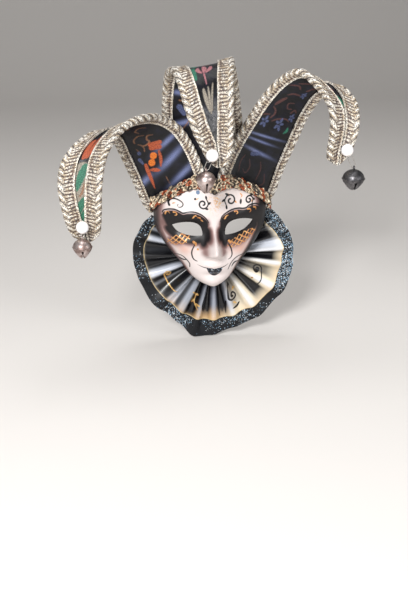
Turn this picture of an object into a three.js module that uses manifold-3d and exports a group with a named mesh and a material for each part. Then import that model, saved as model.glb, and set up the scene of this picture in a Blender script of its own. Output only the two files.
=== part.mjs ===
// Jester carnival mask: a hollow papier-mache face set in a pleated collar, with three brocade horns
// that rise behind the forehead trim, curl over forward and end in a pearl and a jingle bell.
// Millimetres, +Z up; the face looks along -Y. Places are measured from the chin: x to the right as
// seen from the front, y towards the back, z up. The finished group is then shifted so that the point
// it hangs by, behind the top of the forehead, is the origin.
import * as THREE from "three";
import { mergeVertices } from "three/addons/utils/BufferGeometryUtils.js";
import Module from "manifold-3d";

const wasm = await Module();
wasm.setup();

// Driving dimensions
const HANGING_POINT = new THREE.Vector3(0, -42, 126);
const GAP = 0.3;
const SEAT_GAP = 0.45;
const BRAID_GAP = 0.8;
const TURN = Math.PI * 2;
const DEGREE = Math.PI / 180;
const DOWN = new THREE.Vector3(0, 0, -1);
const MERGE_DISTANCE = 0.001;

const FACE_WALL = 2.5;
const FACE_RIM_Y = -14.3;
const FACE_FULLNESS = 0.85;
const FACE_ROWS = 24;
const FACE_COLUMNS = 22;
const FACE_COLUMN_CROWDING = 1.4;
const FACE_ROW_CROWDING = 1.5;
const FACE_CHIN_HEIGHT = 0.5;
const FACE_SIDE_ANGLE = 89;
const FACE_SLOPE_STEP = 0.4;

const COLLAR_WALL = 1.8;
const COLLAR_CENTRE = { x: 6, z: 32 };
const COLLAR_MID_Y = -8;
const COLLAR_RINGS = [0, 0.3, 0.6, 0.84, 1];
const COLLAR_STEPS_PER_PLEAT = 5;
const COLLAR_SLOPE_STEP = 0.02;

const HORN_WALL = 2.4;
const HORN_STEPS = 20;
const HORN_TENSION = 0.5;
const HORN_SLOPE_STEP = 0.01;
const BRAID_WALL = 1.6;
const BRAID_LEG = 16;
const BRAID_FRONT_SHARE = 0.62;
const BRAID_MEETING_GAP = 1.2;
const BRAID_EDGE_SHARE = 0.05;

const TRIM_WIDTH = 16;
const TRIM_THICKNESS = 4.5;
const TRIM_STEPS = 52;
const TRIM_END_ANGLE = 86;
const TRIM_LOOPS = 14;
const TRIM_LOOP_SWELL = 0.16;
const TRIM_SHOULDER = { reach: 0.8, height: 0.7 };
const TRIM_BELOW_EDGE = 1;

const BEAD_RADIUS = 7;
const BEAD_BORE_RADIUS = 0.75;
const BEAD_SIDES = 10;
const BEAD_ARCS = 6;
const WIRE_RADIUS = 0.4;
const WIRE_SIDES = 5;
const WIRE_STEM_ABOVE = 1.2;
const WIRE_BEND_STEPS = 6;
const BELL_WALL = 0.9;
const BELL_SIDES = 12;
const BELL_RING_RADIUS = 1.8;
const BELL_RING_WIRE = 0.7;
const BELL_RING_SIDES = 5;
const BELL_RING_STEPS = 10;
const BELL_SLIT = 1.8;
const BELL_SLIT_TOP_SHARE = -0.22;
const BELL_SLIT_HEIGHT_SHARE = 1.3;

// Tables, one row for each section
function table(columns, rows) {
  return rows.map((row) => Object.fromEntries(columns.map((name, k) => [name, row[k]])));
}

// Face sections by height: half the width at the rim and how far the middle stands before the rim.
const FACE_SECTIONS = table(["z", "halfWidth", "depth"], [
  [0, 0, 29],
  [2.5, 14, 34],
  [10, 26, 37],
  [28, 39.5, 38],
  [40, 49, 38],
  [57, 60.5, 37.5],
  [73, 68, 37],
  [97, 70, 40],
  [106, 68.5, 38.5],
  [118, 63, 35],
  [131, 54, 28],
  [140, 47, 22],
]).map((row) => ({ ...row, root: Math.sqrt(row.z) }));

// Height of the forehead's edge by angle from the middle, a shallow peak over the nose.
const FOREHEAD_EDGE = table(["angle", "z"], [
  [0, 126],
  [23, 131],
  [51, 119],
  [72, 107],
  [90, 97],
]);

// Soft swellings (and hollows, negative) of the face, mirrored where x is not 0.
const FACE_FEATURES = table(["x", "z", "spreadX", "spreadZ", "height"], [
  [30, 93, 20, 7, 3.5],
  [31, 76, 17, 9, -8],
  [37, 56, 15, 13, 4],
  [0, 29, 20, 13, 4],
  [5, 31, 7, 2.6, 2],
  [0, 24, 9, 3.2, 3.5],
  [0, 17, 12, 4, -2.5],
  [0, 9, 11, 7, 3],
  [9.5, 45.5, 4.5, 4.5, 5],
]);

// The nose: height of its ridge above the face and its half breadth.
const NOSE = table(["z", "height", "breadth"], [
  [37, 0, 10],
  [42, 6, 10],
  [46, 19, 9.5],
  [51, 24, 8.5],
  [60, 18, 7.5],
  [70, 9, 6.5],
  [80, 4, 6.5],
  [92, 0, 8],
]);

// Almond eye holes: corners and handles of the upper and lower curve; the right one rises further out.
const EYE = {
  inner: [14, 68],
  upperHandles: [[13, 88], [33, 88]],
  outer: [50.5, 80.5],
  lowerHandles: [[46, 70], [30, 66]],
};
const EYES = table(["side", "rise"], [[-1, 0], [1, 3]]);
const EYE_CUT_FRONT_Y = -80;
const EYE_CUT_DEPTH = 62;
const EYE_CURVE_STEPS = 9;

// Collar outline by angle about its centre: inner edge under the jaw and free outer edge.
const COLLAR_OUTLINE = table(["angle", "inner", "outer"], [
  [-214, 78, 94],
  [-203, 62, 98],
  [-190, 47, 102],
  [-178, 38, 102],
  [-156, 32, 100],
  [-141, 29, 102],
  [-127, 27, 100],
  [-113, 25, 106],
  [-103, 24, 116],
  [-89, 23, 112],
  [-74, 22, 107],
  [-57, 21, 108],
  [-39, 21, 106],
  [-27, 22, 108],
  [-5, 26, 104],
  [9, 34, 102],
  [20, 43, 97],
  [32, 60, 93],
  [41, 74, 88],
]);

// Angles of the pleats' crests, pressed by hand and so uneven.
const PLEAT_CRESTS = [
  -228, -212, -197, -180, -163, -136, -118, -104, -90, -73, -55, -32, -11, 2, 15, 28, 40, 52,
];

// How far the pleats stand either side of the middle, from the inner edge out to the rim.
const PLEAT_DEPTHS = table(["share", "height"], [
  [0, 4.8],
  [0.4, 4.8],
  [0.75, 3.6],
  [1, 1.8],
]);

// Horn panels, a row for each section from the hidden foot to the tip: the inner edge (x1, y1, z1),
// the outer edge (x2, y2, z2) and how far the middle bows forward.
const HORN_COLUMNS = ["x1", "y1", "z1", "x2", "y2", "z2", "bow"];
const HORNS = {
  left: {
    facing: 1,
    sections: table(HORN_COLUMNS, [
      [-7, -37, 122, -70, -4.4, 89, 5],
      [-11, -33, 140, -79, -8, 99, 5],
      [-24, -28, 172, -92, -14, 130, 4],
      [-42, -32, 198, -106, -22, 163, 3],
      [-66, -44, 211, -117, -36, 186, 2],
      [-92, -66, 211, -136, -60, 196, 2],
      [-113, -84, 200, -156, -80, 190, 2],
      [-129, -101, 178, -173, -99, 175, 2],
      [-136, -112, 147, -179, -109, 150, 2],
      [-138, -116, 118, -175, -115, 119, 2],
      [-140, -112, 97, -169, -112, 98, 1],
      [-145, -106, 85, -160, -106, 86, 0],
    ]),
  },
  middle: {
    facing: -1,
    sections: table(HORN_COLUMNS, [
      [-44, -19.6, 112, 42, -19.6, 114, 7],
      [-47, -17.4, 128, 43, -17.4, 130, 7],
      [-52, -14, 165, 40, -14, 168, 6],
      [-55, -18, 210, 34, -18, 214, 4],
      [-54, -30, 246, 27, -30, 253, 3],
      [-52, -46, 261, 20, -46, 271, 2],
      [-47, -68, 263, 17, -68, 273, 2],
      [-43, -88, 250, 13, -88, 262, 2],
      [-37, -101, 226, 11, -100, 240, 2],
      [-29, -107, 202, 10, -107, 212, 2],
      [-21, -109, 186, 9, -109, 184, 1],
      [-11, -106, 165, 3, -106, 164, 0],
    ]),
  },
  right: {
    facing: -1,
    sections: table(HORN_COLUMNS, [
      [7, -37, 122, 70, -6.4, 94, 5],
      [11, -33, 140, 79, -8, 106, 5],
      [24, -28, 168, 90, -14, 140, 4],
      [42, -27, 198, 103, -20, 174, 3],
      [62, -27, 228, 115, -23, 203, 3],
      [82, -33, 250, 129, -35, 228, 2],
      [99, -46, 259, 145, -54, 240, 2],
      [114, -66, 247, 156, -71, 231, 2],
      [126, -82, 228, 159, -83, 218, 2],
      [129, -92, 205, 157, -92, 200, 2],
      [125, -97, 172, 150, -96, 177, 1],
      [130, -97, 159, 141, -97, 162, 0],
    ]),
  },
};

// Pearl, wire and bell of each horn: where the pearl sits on the panel (row along, share across), how
// far the wire's loop hangs below the pearl, half its width, how far it leans sideways and out, the
// bell's radius and how much its lower half is drawn out.
const PENDANT_COLUMNS = [
  "horn", "row", "across", "drop", "loopHalf", "leanX", "leanY", "bellRadius", "bellStretch",
];
const PENDANTS = table(PENDANT_COLUMNS, [
  ["left", 9.5, 0.55, 3.6, 2.1, -1, 3, 11.2, 1],
  ["middle", 10.25, 0.2, 8.5, 2.6, -7, 0, 11.2, 1.2],
  ["right", 9.95, 0.76, 13.2, 2.6, 9, 0, 13.4, 0.85],
]);

// Bell profile in shares of its radius, from the bottom pole to the top pole; the seam's bead stands
// out round the middle and does not show inside.
const BELL_PROFILE = table(["radius", "z", "seam"], [
  [0, -1.2, false],
  [0.22, -1.14, false],
  [0.46, -0.92, false],
  [0.72, -0.56, false],
  [0.89, -0.26, false],
  [0.95, -0.06, true],
  [1, 0, true],
  [0.95, 0.06, false],
  [0.82, 0.37, false],
  [0.48, 0.67, false],
  [0, 0.82, false],
]);

// Cubic through a column's values, with the slope at each row taken from its two neighbours.
function tableAt(rows, key, column, at) {
  const last = rows.length - 1;
  const place = THREE.MathUtils.clamp(at, rows[0][key], rows[last][key]);
  let i = 0;
  while (i < last - 1 && place > rows[i + 1][key]) i += 1;
  const slope = (k) => {
    const before = rows[Math.max(k - 1, 0)];
    const after = rows[Math.min(k + 1, last)];
    return (after[column] - before[column]) / (after[key] - before[key]);
  };
  const span = rows[i + 1][key] - rows[i][key];
  const t = (place - rows[i][key]) / span;
  const rest = 1 - t;
  return rows[i][column] * rest * rest * (1 + 2 * t)
    + rows[i + 1][column] * t * t * (1 + 2 * rest)
    + span * t * rest * (slope(i) * rest - slope(i + 1) * t);
}

// Closed body from points and triangles, with shared points merged and its faces turned outwards.
function closedBody(points, triangles) {
  const geometry = new THREE.BufferGeometry().setFromPoints(points);
  geometry.setIndex(triangles.flat());
  const merged = mergeVertices(geometry, MERGE_DISTANCE);
  const place = merged.getAttribute("position");
  const corner = (k) => new THREE.Vector3().fromBufferAttribute(place, merged.index.getX(k));
  let volume = 0;
  const kept = [];
  for (let k = 0; k < merged.index.count; k += 3) {
    const [a, b, c] = [0, 1, 2].map((n) => merged.index.getX(k + n));
    if (a === b || b === c || c === a) continue;
    kept.push([a, b, c]);
    volume += corner(k).dot(corner(k + 1).cross(corner(k + 2)));
  }
  merged.setIndex((volume < 0 ? kept.map(([a, b, c]) => [a, c, b]) : kept).flat());
  return merged;
}

// Two triangles of a four-sided patch, split along its shorter diagonal.
function patch(points, a, b, c, d) {
  const straight = points[a].distanceToSquared(points[c]) <= points[b].distanceToSquared(points[d]);
  return straight ? [[a, b, c], [a, c, d]] : [[a, b, d], [b, c, d]];
}

// Thin wall between two grids of points, closed round its border.
function wall(front, back) {
  const rows = front.length;
  const columns = front[0].length;
  const points = [...front.flat(), ...back.flat()];
  const frontAt = (i, j) => i * columns + j;
  const backAt = (i, j) => rows * columns + i * columns + j;
  const triangles = [];
  const quad = (a, b, c, d) => triangles.push(...patch(points, a, b, c, d));
  for (let i = 0; i < rows - 1; i += 1) {
    for (let j = 0; j < columns - 1; j += 1) {
      quad(frontAt(i, j), frontAt(i + 1, j), frontAt(i + 1, j + 1), frontAt(i, j + 1));
      quad(backAt(i, j), backAt(i, j + 1), backAt(i + 1, j + 1), backAt(i + 1, j));
    }
    quad(frontAt(i, 0), backAt(i, 0), backAt(i + 1, 0), frontAt(i + 1, 0));
    const j = columns - 1;
    quad(frontAt(i, j), frontAt(i + 1, j), backAt(i + 1, j), backAt(i, j));
  }
  for (let j = 0; j < columns - 1; j += 1) {
    quad(frontAt(0, j), frontAt(0, j + 1), backAt(0, j + 1), backAt(0, j));
    const i = rows - 1;
    quad(frontAt(i, j), backAt(i, j), backAt(i, j + 1), frontAt(i, j + 1));
  }
  return closedBody(points, triangles);
}

// Body carried along a row of closed loops of points, capped at both ends; the caps' triangles come
// from the loop's flat outline.
function carried(loops, outline) {
  const size = outline.length;
  const points = loops.flat();
  const triangles = [];
  for (let i = 0; i < loops.length - 1; i += 1) {
    for (let k = 0; k < size; k += 1) {
      const next = (k + 1) % size;
      const [a, b] = [i * size + k, i * size + next];
      triangles.push(...patch(points, a, b, b + size, a + size));
    }
  }
  const cap = THREE.ShapeUtils.triangulateShape(outline.map(([x, y]) => new THREE.Vector2(x, y)), []);
  const turned = THREE.ShapeUtils.area(outline.map(([x, y]) => ({ x, y }))) < 0;
  const end = (loops.length - 1) * size;
  for (const [a, b, c] of cap) {
    triangles.push(turned ? [a, b, c] : [a, c, b]);
    triangles.push((turned ? [a, c, b] : [a, b, c]).map((n) => n + end));
  }
  return closedBody(points, triangles);
}

// Boolean solids
function toSolid(geometry) {
  const bare = new THREE.BufferGeometry().setAttribute("position", geometry.getAttribute("position"));
  if (geometry.index) bare.setIndex(geometry.index);
  const merged = mergeVertices(bare, MERGE_DISTANCE);
  return new wasm.Manifold(new wasm.Mesh({
    numProp: 3,
    vertProperties: new Float32Array(merged.getAttribute("position").array),
    triVerts: new Uint32Array(merged.index.array),
  }));
}

function toGeometry(solid) {
  const mesh = solid.getMesh();
  const geometry = new THREE.BufferGeometry();
  geometry.setAttribute("position", new THREE.BufferAttribute(new Float32Array(mesh.vertProperties), 3));
  geometry.setIndex(new THREE.BufferAttribute(new Uint32Array(mesh.triVerts), 1));
  return geometry;
}

// Unit normal of a surface given as a function of two parameters.
function normalOf(surface, a, b, step) {
  const alongA = surface(a + step, b).sub(surface(a - step, b));
  const alongB = surface(a, b + step).sub(surface(a, b - step));
  return alongA.cross(alongB).normalize();
}

// Face
const bump = (offset, spread) => Math.exp(-((offset / spread) ** 2));

function faceRelief(x, z) {
  let height = tableAt(NOSE, "z", "height", z) * bump(x, tableAt(NOSE, "z", "breadth", z));
  for (const feature of FACE_FEATURES) {
    const sides = feature.x === 0 ? [0] : [-feature.x, feature.x];
    for (const middle of sides) {
      height += feature.height * bump(x - middle, feature.spreadX) * bump(z - feature.z, feature.spreadZ);
    }
  }
  return height;
}

// Point of the face's outer side at an angle from its middle and a height: an oval section with the
// relief pushed out along -Y, fading to nothing at the rim.
function facePoint(angle, z) {
  const root = Math.sqrt(Math.max(z, 0));
  const halfWidth = tableAt(FACE_SECTIONS, "root", "halfWidth", root);
  const depth = tableAt(FACE_SECTIONS, "root", "depth", root);
  const x = halfWidth * Math.sin(angle * DEGREE);
  const forward = Math.max(Math.cos(angle * DEGREE), 0);
  const relief = faceRelief(x, z) * forward;
  return new THREE.Vector3(x, FACE_RIM_Y - depth * forward ** FACE_FULLNESS - relief, z);
}

function faceNormal(angle, z) {
  if (z < FACE_CHIN_HEIGHT) return DOWN.clone();
  const inner = Math.sign(angle) * Math.min(Math.abs(angle), FACE_SIDE_ANGLE);
  const normal = normalOf(facePoint, inner, z, FACE_SLOPE_STEP);
  if (Math.abs(angle) > FACE_SIDE_ANGLE) normal.set(Math.sign(angle), 0, normal.z).normalize();
  return normal;
}

function foreheadEdge(angle) {
  return tableAt(FOREHEAD_EDGE, "angle", "z", Math.abs(angle));
}

function eyeHole({ side, rise }) {
  const at = ([x, z], lift) => [side * x, z + lift * rise];
  const shape = new THREE.Shape();
  shape.moveTo(...at(EYE.inner, 0));
  shape.bezierCurveTo(...at(EYE.upperHandles[0], 0.5), ...at(EYE.upperHandles[1], 1), ...at(EYE.outer, 1));
  shape.bezierCurveTo(...at(EYE.lowerHandles[0], 1), ...at(EYE.lowerHandles[1], 0.5), ...at(EYE.inner, 0));
  const cut = new THREE.ExtrudeGeometry(shape, {
    depth: EYE_CUT_DEPTH, bevelEnabled: false, curveSegments: EYE_CURVE_STEPS,
  });
  cut.rotateX(90 * DEGREE);
  cut.translate(0, EYE_CUT_FRONT_Y + EYE_CUT_DEPTH, 0);
  return cut;
}

function faceBody() {
  const front = [];
  const back = [];
  for (let i = 0; i <= FACE_ROWS; i += 1) {
    front.push([]);
    back.push([]);
    for (let j = 0; j <= FACE_COLUMNS; j += 1) {
      const share = (2 * j) / FACE_COLUMNS - 1;
      const angle = 90 * Math.sign(share) * Math.abs(share) ** FACE_COLUMN_CROWDING;
      const z = foreheadEdge(angle) * (i / FACE_ROWS) ** FACE_ROW_CROWDING;
      const point = facePoint(angle, z);
      front[i].push(point);
      back[i].push(point.clone().addScaledVector(faceNormal(angle, z), -FACE_WALL));
    }
  }
  let solid = toSolid(wall(front, back));
  for (const eye of EYES) solid = solid.subtract(toSolid(eyeHole(eye)));
  return toGeometry(solid);
}

// Collar
function pleatWave(angle) {
  let k = 0;
  while (k < PLEAT_CRESTS.length - 2 && angle > PLEAT_CRESTS[k + 1]) k += 1;
  const share = (angle - PLEAT_CRESTS[k]) / (PLEAT_CRESTS[k + 1] - PLEAT_CRESTS[k]);
  return Math.cos(share * TURN);
}

// Point of the collar's middle layer at an angle about its centre and a share from inner edge to rim.
function collarPoint(angle, share) {
  const inner = tableAt(COLLAR_OUTLINE, "angle", "inner", angle);
  const outer = tableAt(COLLAR_OUTLINE, "angle", "outer", angle);
  const radius = inner + (outer - inner) * share;
  const height = tableAt(PLEAT_DEPTHS, "share", "height", share);
  return new THREE.Vector3(
    COLLAR_CENTRE.x + radius * Math.cos(angle * DEGREE),
    COLLAR_MID_Y - height * pleatWave(angle),
    COLLAR_CENTRE.z + radius * Math.sin(angle * DEGREE),
  );
}

function collarAngles() {
  const first = COLLAR_OUTLINE[0].angle;
  const last = COLLAR_OUTLINE[COLLAR_OUTLINE.length - 1].angle;
  const angles = [first];
  for (let k = 0; k < PLEAT_CRESTS.length - 1; k += 1) {
    for (let n = 0; n < COLLAR_STEPS_PER_PLEAT; n += 1) {
      const share = n / COLLAR_STEPS_PER_PLEAT;
      const angle = PLEAT_CRESTS[k] + share * (PLEAT_CRESTS[k + 1] - PLEAT_CRESTS[k]);
      if (angle > first + 1 && angle < last - 1) angles.push(angle);
    }
  }
  return [...angles, last];
}

function collarBody() {
  const front = [];
  const back = [];
  for (const angle of collarAngles()) {
    const points = COLLAR_RINGS.map((share) => collarPoint(angle, share));
    const normals = COLLAR_RINGS.map((share) => {
      const inside = THREE.MathUtils.clamp(share, COLLAR_SLOPE_STEP, 1 - COLLAR_SLOPE_STEP);
      const normal = normalOf(collarPoint, angle, inside, COLLAR_SLOPE_STEP);
      return normal.multiplyScalar(normal.y > 0 ? -1 : 1);
    });
    front.push(points.map((point, k) => point.clone().addScaledVector(normals[k], COLLAR_WALL / 2)));
    back.push(points.map((point, k) => point.clone().addScaledVector(normals[k], -COLLAR_WALL / 2)));
  }
  return wall(front, back);
}

// Horns
function hornSurface({ sections, facing }) {
  const curve = (points) => new THREE.CatmullRomCurve3(points, false, "catmullrom", HORN_TENSION);
  const inner = curve(sections.map((row) => new THREE.Vector3(row.x1, row.y1, row.z1)));
  const outer = curve(sections.map((row) => new THREE.Vector3(row.x2, row.y2, row.z2)));
  const bows = curve(sections.map((row) => new THREE.Vector3(row.bow, 0, 0)));
  const last = sections.length - 1;

  // Point at a row along and a share across: the chord between the edges, bowed to its front.
  function point(row, across) {
    const t = THREE.MathUtils.clamp(row / last, 0, 1);
    const start = inner.getPoint(t);
    const chord = outer.getPoint(t).sub(start);
    const rise = inner.getTangent(t).add(outer.getTangent(t));
    const front = rise.cross(chord).normalize().multiplyScalar(facing);
    const bow = bows.getPoint(t).x * 4 * across * (1 - across);
    return start.addScaledVector(chord, across).addScaledVector(front, bow);
  }
  function normal(row, across) {
    const inside = THREE.MathUtils.clamp(row, 2 * HORN_SLOPE_STEP, last - 2 * HORN_SLOPE_STEP);
    return normalOf(point, inside, across, HORN_SLOPE_STEP).multiplyScalar(facing);
  }
  function width(row) {
    return point(row, 0).distanceTo(point(row, 1));
  }
  const rows = Array.from({ length: HORN_STEPS + 1 }, (_, k) => (last * k) / HORN_STEPS);
  return { point, normal, width, rows };
}

// How far the braid's two legs reach in from the edge, less where the horn narrows.
function braidLegs(width) {
  const back = Math.min(BRAID_LEG, (width - BRAID_MEETING_GAP) / 2);
  return { back, front: back * BRAID_FRONT_SHARE };
}

function hornBody(surface) {
  const side = (sign) => surface.rows.map((row) => {
    const width = surface.width(row);
    const legs = braidLegs(width);
    const shares = [0, legs.front / width, legs.back / width];
    const acrosses = [...shares, 0.5, ...shares.map((share) => 1 - share).reverse()];
    return acrosses.map((across) => surface.point(row, across)
      .addScaledVector(surface.normal(row, across), (sign * HORN_WALL) / 2));
  });
  return wall(side(1), side(-1));
}

// Braid folded round one edge: a channel with a short front leg and a long back leg. Each loop point
// is a distance in from the edge and a height off the panel's middle layer.
function braidLoop({ front, back }) {
  const inside = HORN_WALL / 2 + BRAID_GAP;
  const outside = inside + BRAID_WALL;
  const end = BRAID_WALL;
  return [
    [front, inside],
    [front - end, outside],
    [0, outside],
    [-BRAID_GAP - BRAID_WALL, inside],
    [-BRAID_GAP - BRAID_WALL, -inside],
    [0, -outside],
    [front, -outside],
    [back - end, -outside],
    [back, -inside],
    [front, -inside],
    [-BRAID_GAP, -inside],
    [-BRAID_GAP, inside],
  ];
}

function braidBody(surface, edge) {
  const inward = edge === 0 ? 1 : -1;
  const loops = surface.rows.map((row) => {
    const width = surface.width(row);
    const start = surface.point(row, edge);
    const out = start.clone().sub(surface.point(row, edge + inward * BRAID_EDGE_SHARE)).normalize();
    return braidLoop(braidLegs(width)).map(([reach, height]) => {
      const across = edge + (inward * Math.max(reach, 0)) / width;
      return surface.point(row, across)
        .addScaledVector(out, Math.max(-reach, 0))
        .addScaledVector(surface.normal(row, across), height);
    });
  });
  return carried(loops, braidLoop(braidLegs(surface.width(0))));
}

// Forehead trim: a domed band along the forehead's edge that swells and narrows with its loops.
function trimBody() {
  const profile = (swell) => {
    const half = (TRIM_WIDTH / 2) * (1 + TRIM_LOOP_SWELL * swell);
    const crown = TRIM_THICKNESS * (1 + TRIM_LOOP_SWELL * swell);
    const reach = half * TRIM_SHOULDER.reach;
    const height = crown * TRIM_SHOULDER.height;
    return [[-half, 0], [-reach, height], [0, crown], [reach, height], [half, 0]];
  };
  const loops = [];
  for (let k = 0; k <= TRIM_STEPS; k += 1) {
    const angle = TRIM_END_ANGLE * ((2 * k) / TRIM_STEPS - 1);
    const z = foreheadEdge(angle) - TRIM_BELOW_EDGE;
    const middle = facePoint(angle, z);
    const normal = faceNormal(angle, z);
    const up = facePoint(angle, z + FACE_SLOPE_STEP).sub(facePoint(angle, z - FACE_SLOPE_STEP)).normalize();
    const swell = Math.cos((k / TRIM_STEPS) * TRIM_LOOPS * TURN);
    loops.push(profile(swell).map(([reach, height]) => middle.clone()
      .addScaledVector(up, reach)
      .addScaledVector(normal, height + SEAT_GAP)));
  }
  return carried(loops, profile(0));
}

// Pearl, wire and bell
function pendantPlaces({ row, across, drop, leanX, leanY, bellRadius }, surface) {
  const standoff = HORN_WALL / 2 + BRAID_GAP + BRAID_WALL + GAP + BEAD_RADIUS;
  const pearl = surface.point(row, across).addScaledVector(surface.normal(row, across), -standoff);
  const hang = new THREE.Vector3(leanX, -leanY, -BEAD_RADIUS - drop);
  const turn = new THREE.Quaternion().setFromUnitVectors(DOWN, hang.clone().normalize());
  const bend = pearl.clone().add(hang);
  const bell = bend.clone();
  bell.z -= bellRingHeight(bellRadius);
  return { pearl, turn, bell, wireLength: hang.length() };
}

function beadBody() {
  const profile = [];
  const from = Math.asin(BEAD_BORE_RADIUS / BEAD_RADIUS);
  for (let k = 0; k <= BEAD_ARCS; k += 1) {
    const angle = from + ((Math.PI - 2 * from) * k) / BEAD_ARCS;
    profile.push(new THREE.Vector2(BEAD_RADIUS * Math.sin(angle), -BEAD_RADIUS * Math.cos(angle)));
  }
  profile.push(profile[0].clone());
  const bead = new THREE.LatheGeometry(profile, BEAD_SIDES);
  bead.rotateX(90 * DEGREE);
  return toGeometry(toSolid(bead));
}

// Eye pin: a stem through the pearl that opens into a long loop, its end brought back to the stem.
function wireBody(length, loopHalf) {
  const neck = -BEAD_RADIUS - 2 * WIRE_RADIUS;
  const shoulder = neck - loopHalf / 2;
  const middle = loopHalf - length;
  const path = [[0, BEAD_RADIUS + WIRE_STEM_ABOVE], [0, neck], [-loopHalf, shoulder]];
  for (let k = 0; k <= WIRE_BEND_STEPS; k += 1) {
    const angle = Math.PI * (1 + k / WIRE_BEND_STEPS);
    path.push([loopHalf * Math.cos(angle), middle + loopHalf * Math.sin(angle)]);
  }
  path.push([loopHalf, shoulder]);
  const points = path.map(([x, z]) => new THREE.Vector3(x, 0, z));
  const ring = Array.from({ length: WIRE_SIDES }, (_, k) => [
    WIRE_RADIUS * Math.cos((k / WIRE_SIDES) * TURN),
    WIRE_RADIUS * Math.sin((k / WIRE_SIDES) * TURN),
  ]);
  const across = new THREE.Vector3(0, 1, 0);
  const loops = points.map((point, k) => {
    const along = points[Math.min(k + 1, points.length - 1)].clone().sub(points[Math.max(k - 1, 0)]);
    const third = along.cross(across).normalize();
    return ring.map(([a, b]) => point.clone().addScaledVector(across, a).addScaledVector(third, b));
  });
  return carried(loops, ring);
}

// Height of the ring's middle, which is also the bell's pivot, above the middle of the bell.
function bellRingHeight(radius) {
  const top = BELL_PROFILE[BELL_PROFILE.length - 1].z * radius;
  return top + BELL_RING_RADIUS - BELL_RING_WIRE / 2;
}

// Hollow bell with crossed slits underneath and a ring on top.
function bellBody(radius, stretch) {
  const lathe = (inset) => {
    const rows = inset > 0 ? BELL_PROFILE.filter((row) => !row.seam) : BELL_PROFILE;
    const profile = rows.map((row) => new THREE.Vector2(
      Math.max(row.radius * radius - inset, 0), row.z * (row.z < 0 ? stretch : 1) * (radius - inset)));
    const body = new THREE.LatheGeometry(profile, BELL_SIDES);
    body.rotateX(90 * DEGREE);
    return toSolid(body);
  };
  let solid = lathe(0).subtract(lathe(BELL_WALL));
  for (const turn of [0, 90]) {
    const height = BELL_SLIT_HEIGHT_SHARE * radius;
    const slit = new THREE.BoxGeometry(2 * radius + 1, BELL_SLIT, height);
    slit.translate(0, 0, BELL_SLIT_TOP_SHARE * radius - height / 2);
    slit.rotateZ(turn * DEGREE);
    solid = solid.subtract(toSolid(slit));
  }
  const ring = new THREE.TorusGeometry(BELL_RING_RADIUS, BELL_RING_WIRE, BELL_RING_SIDES, BELL_RING_STEPS);
  ring.rotateY(90 * DEGREE);
  ring.translate(0, 0, bellRingHeight(radius));
  return toGeometry(solid.add(toSolid(ring)));
}

// Assembly
const FINISHES = {
  papier: { color: 0xe9ddd3, roughness: 0.45, metalness: 0 },
  lacquer: { color: 0xd9cfc0, roughness: 0.25, metalness: 0 },
  brocade: { color: 0x1b1a26, roughness: 0.6, metalness: 0 },
  braid: { color: 0xb9a06a, roughness: 0.5, metalness: 0.4 },
  trim: { color: 0x8a6a35, roughness: 0.5, metalness: 0.4 },
  pearl: { color: 0xf4f1ec, roughness: 0.2, metalness: 0 },
  wire: { color: 0x9a948c, roughness: 0.35, metalness: 1 },
  bell: { color: 0x6d625a, roughness: 0.45, metalness: 0.9 },
};

const mask = new THREE.Group();
mask.position.copy(HANGING_POINT).negate();

function piece(name, geometry, finish, parent = mask) {
  const mesh = new THREE.Mesh(geometry, new THREE.MeshStandardMaterial(FINISHES[finish]));
  mesh.name = name;
  parent.add(mesh);
  return mesh;
}

piece("face", faceBody(), "papier");
piece("collar", collarBody(), "lacquer");
piece("forehead_trim", trimBody(), "trim");
for (const [name, horn] of Object.entries(HORNS)) {
  const surface = hornSurface(horn);
  piece(`horn_${name}`, hornBody(surface), "brocade");
  piece(`horn_${name}_inner_braid`, braidBody(surface, 0), "braid");
  piece(`horn_${name}_outer_braid`, braidBody(surface, 1), "braid");
  const pendant = PENDANTS.find((row) => row.horn === name);
  const places = pendantPlaces(pendant, surface);
  const string = new THREE.Group();
  string.position.copy(places.pearl);
  string.quaternion.copy(places.turn);
  mask.add(string);
  piece(`bead_${name}`, beadBody(), "pearl", string);
  piece(`bell_wire_${name}`, wireBody(places.wireLength, pendant.loopHalf), "wire", string);
  const bell = piece(`bell_${name}`, bellBody(pendant.bellRadius, pendant.bellStretch), "bell");
  bell.position.copy(places.bell);
}

export default new THREE.Group().add(mask);
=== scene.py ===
"""Looks of the jester mask: painted face, pleated collar, brocade horns, braid, gimp trim, pearls and bells.

Shapes are worked out in millimetres from the chin (x right, y back, z up) and moved to the frame at the end.
"""
import math

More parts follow.
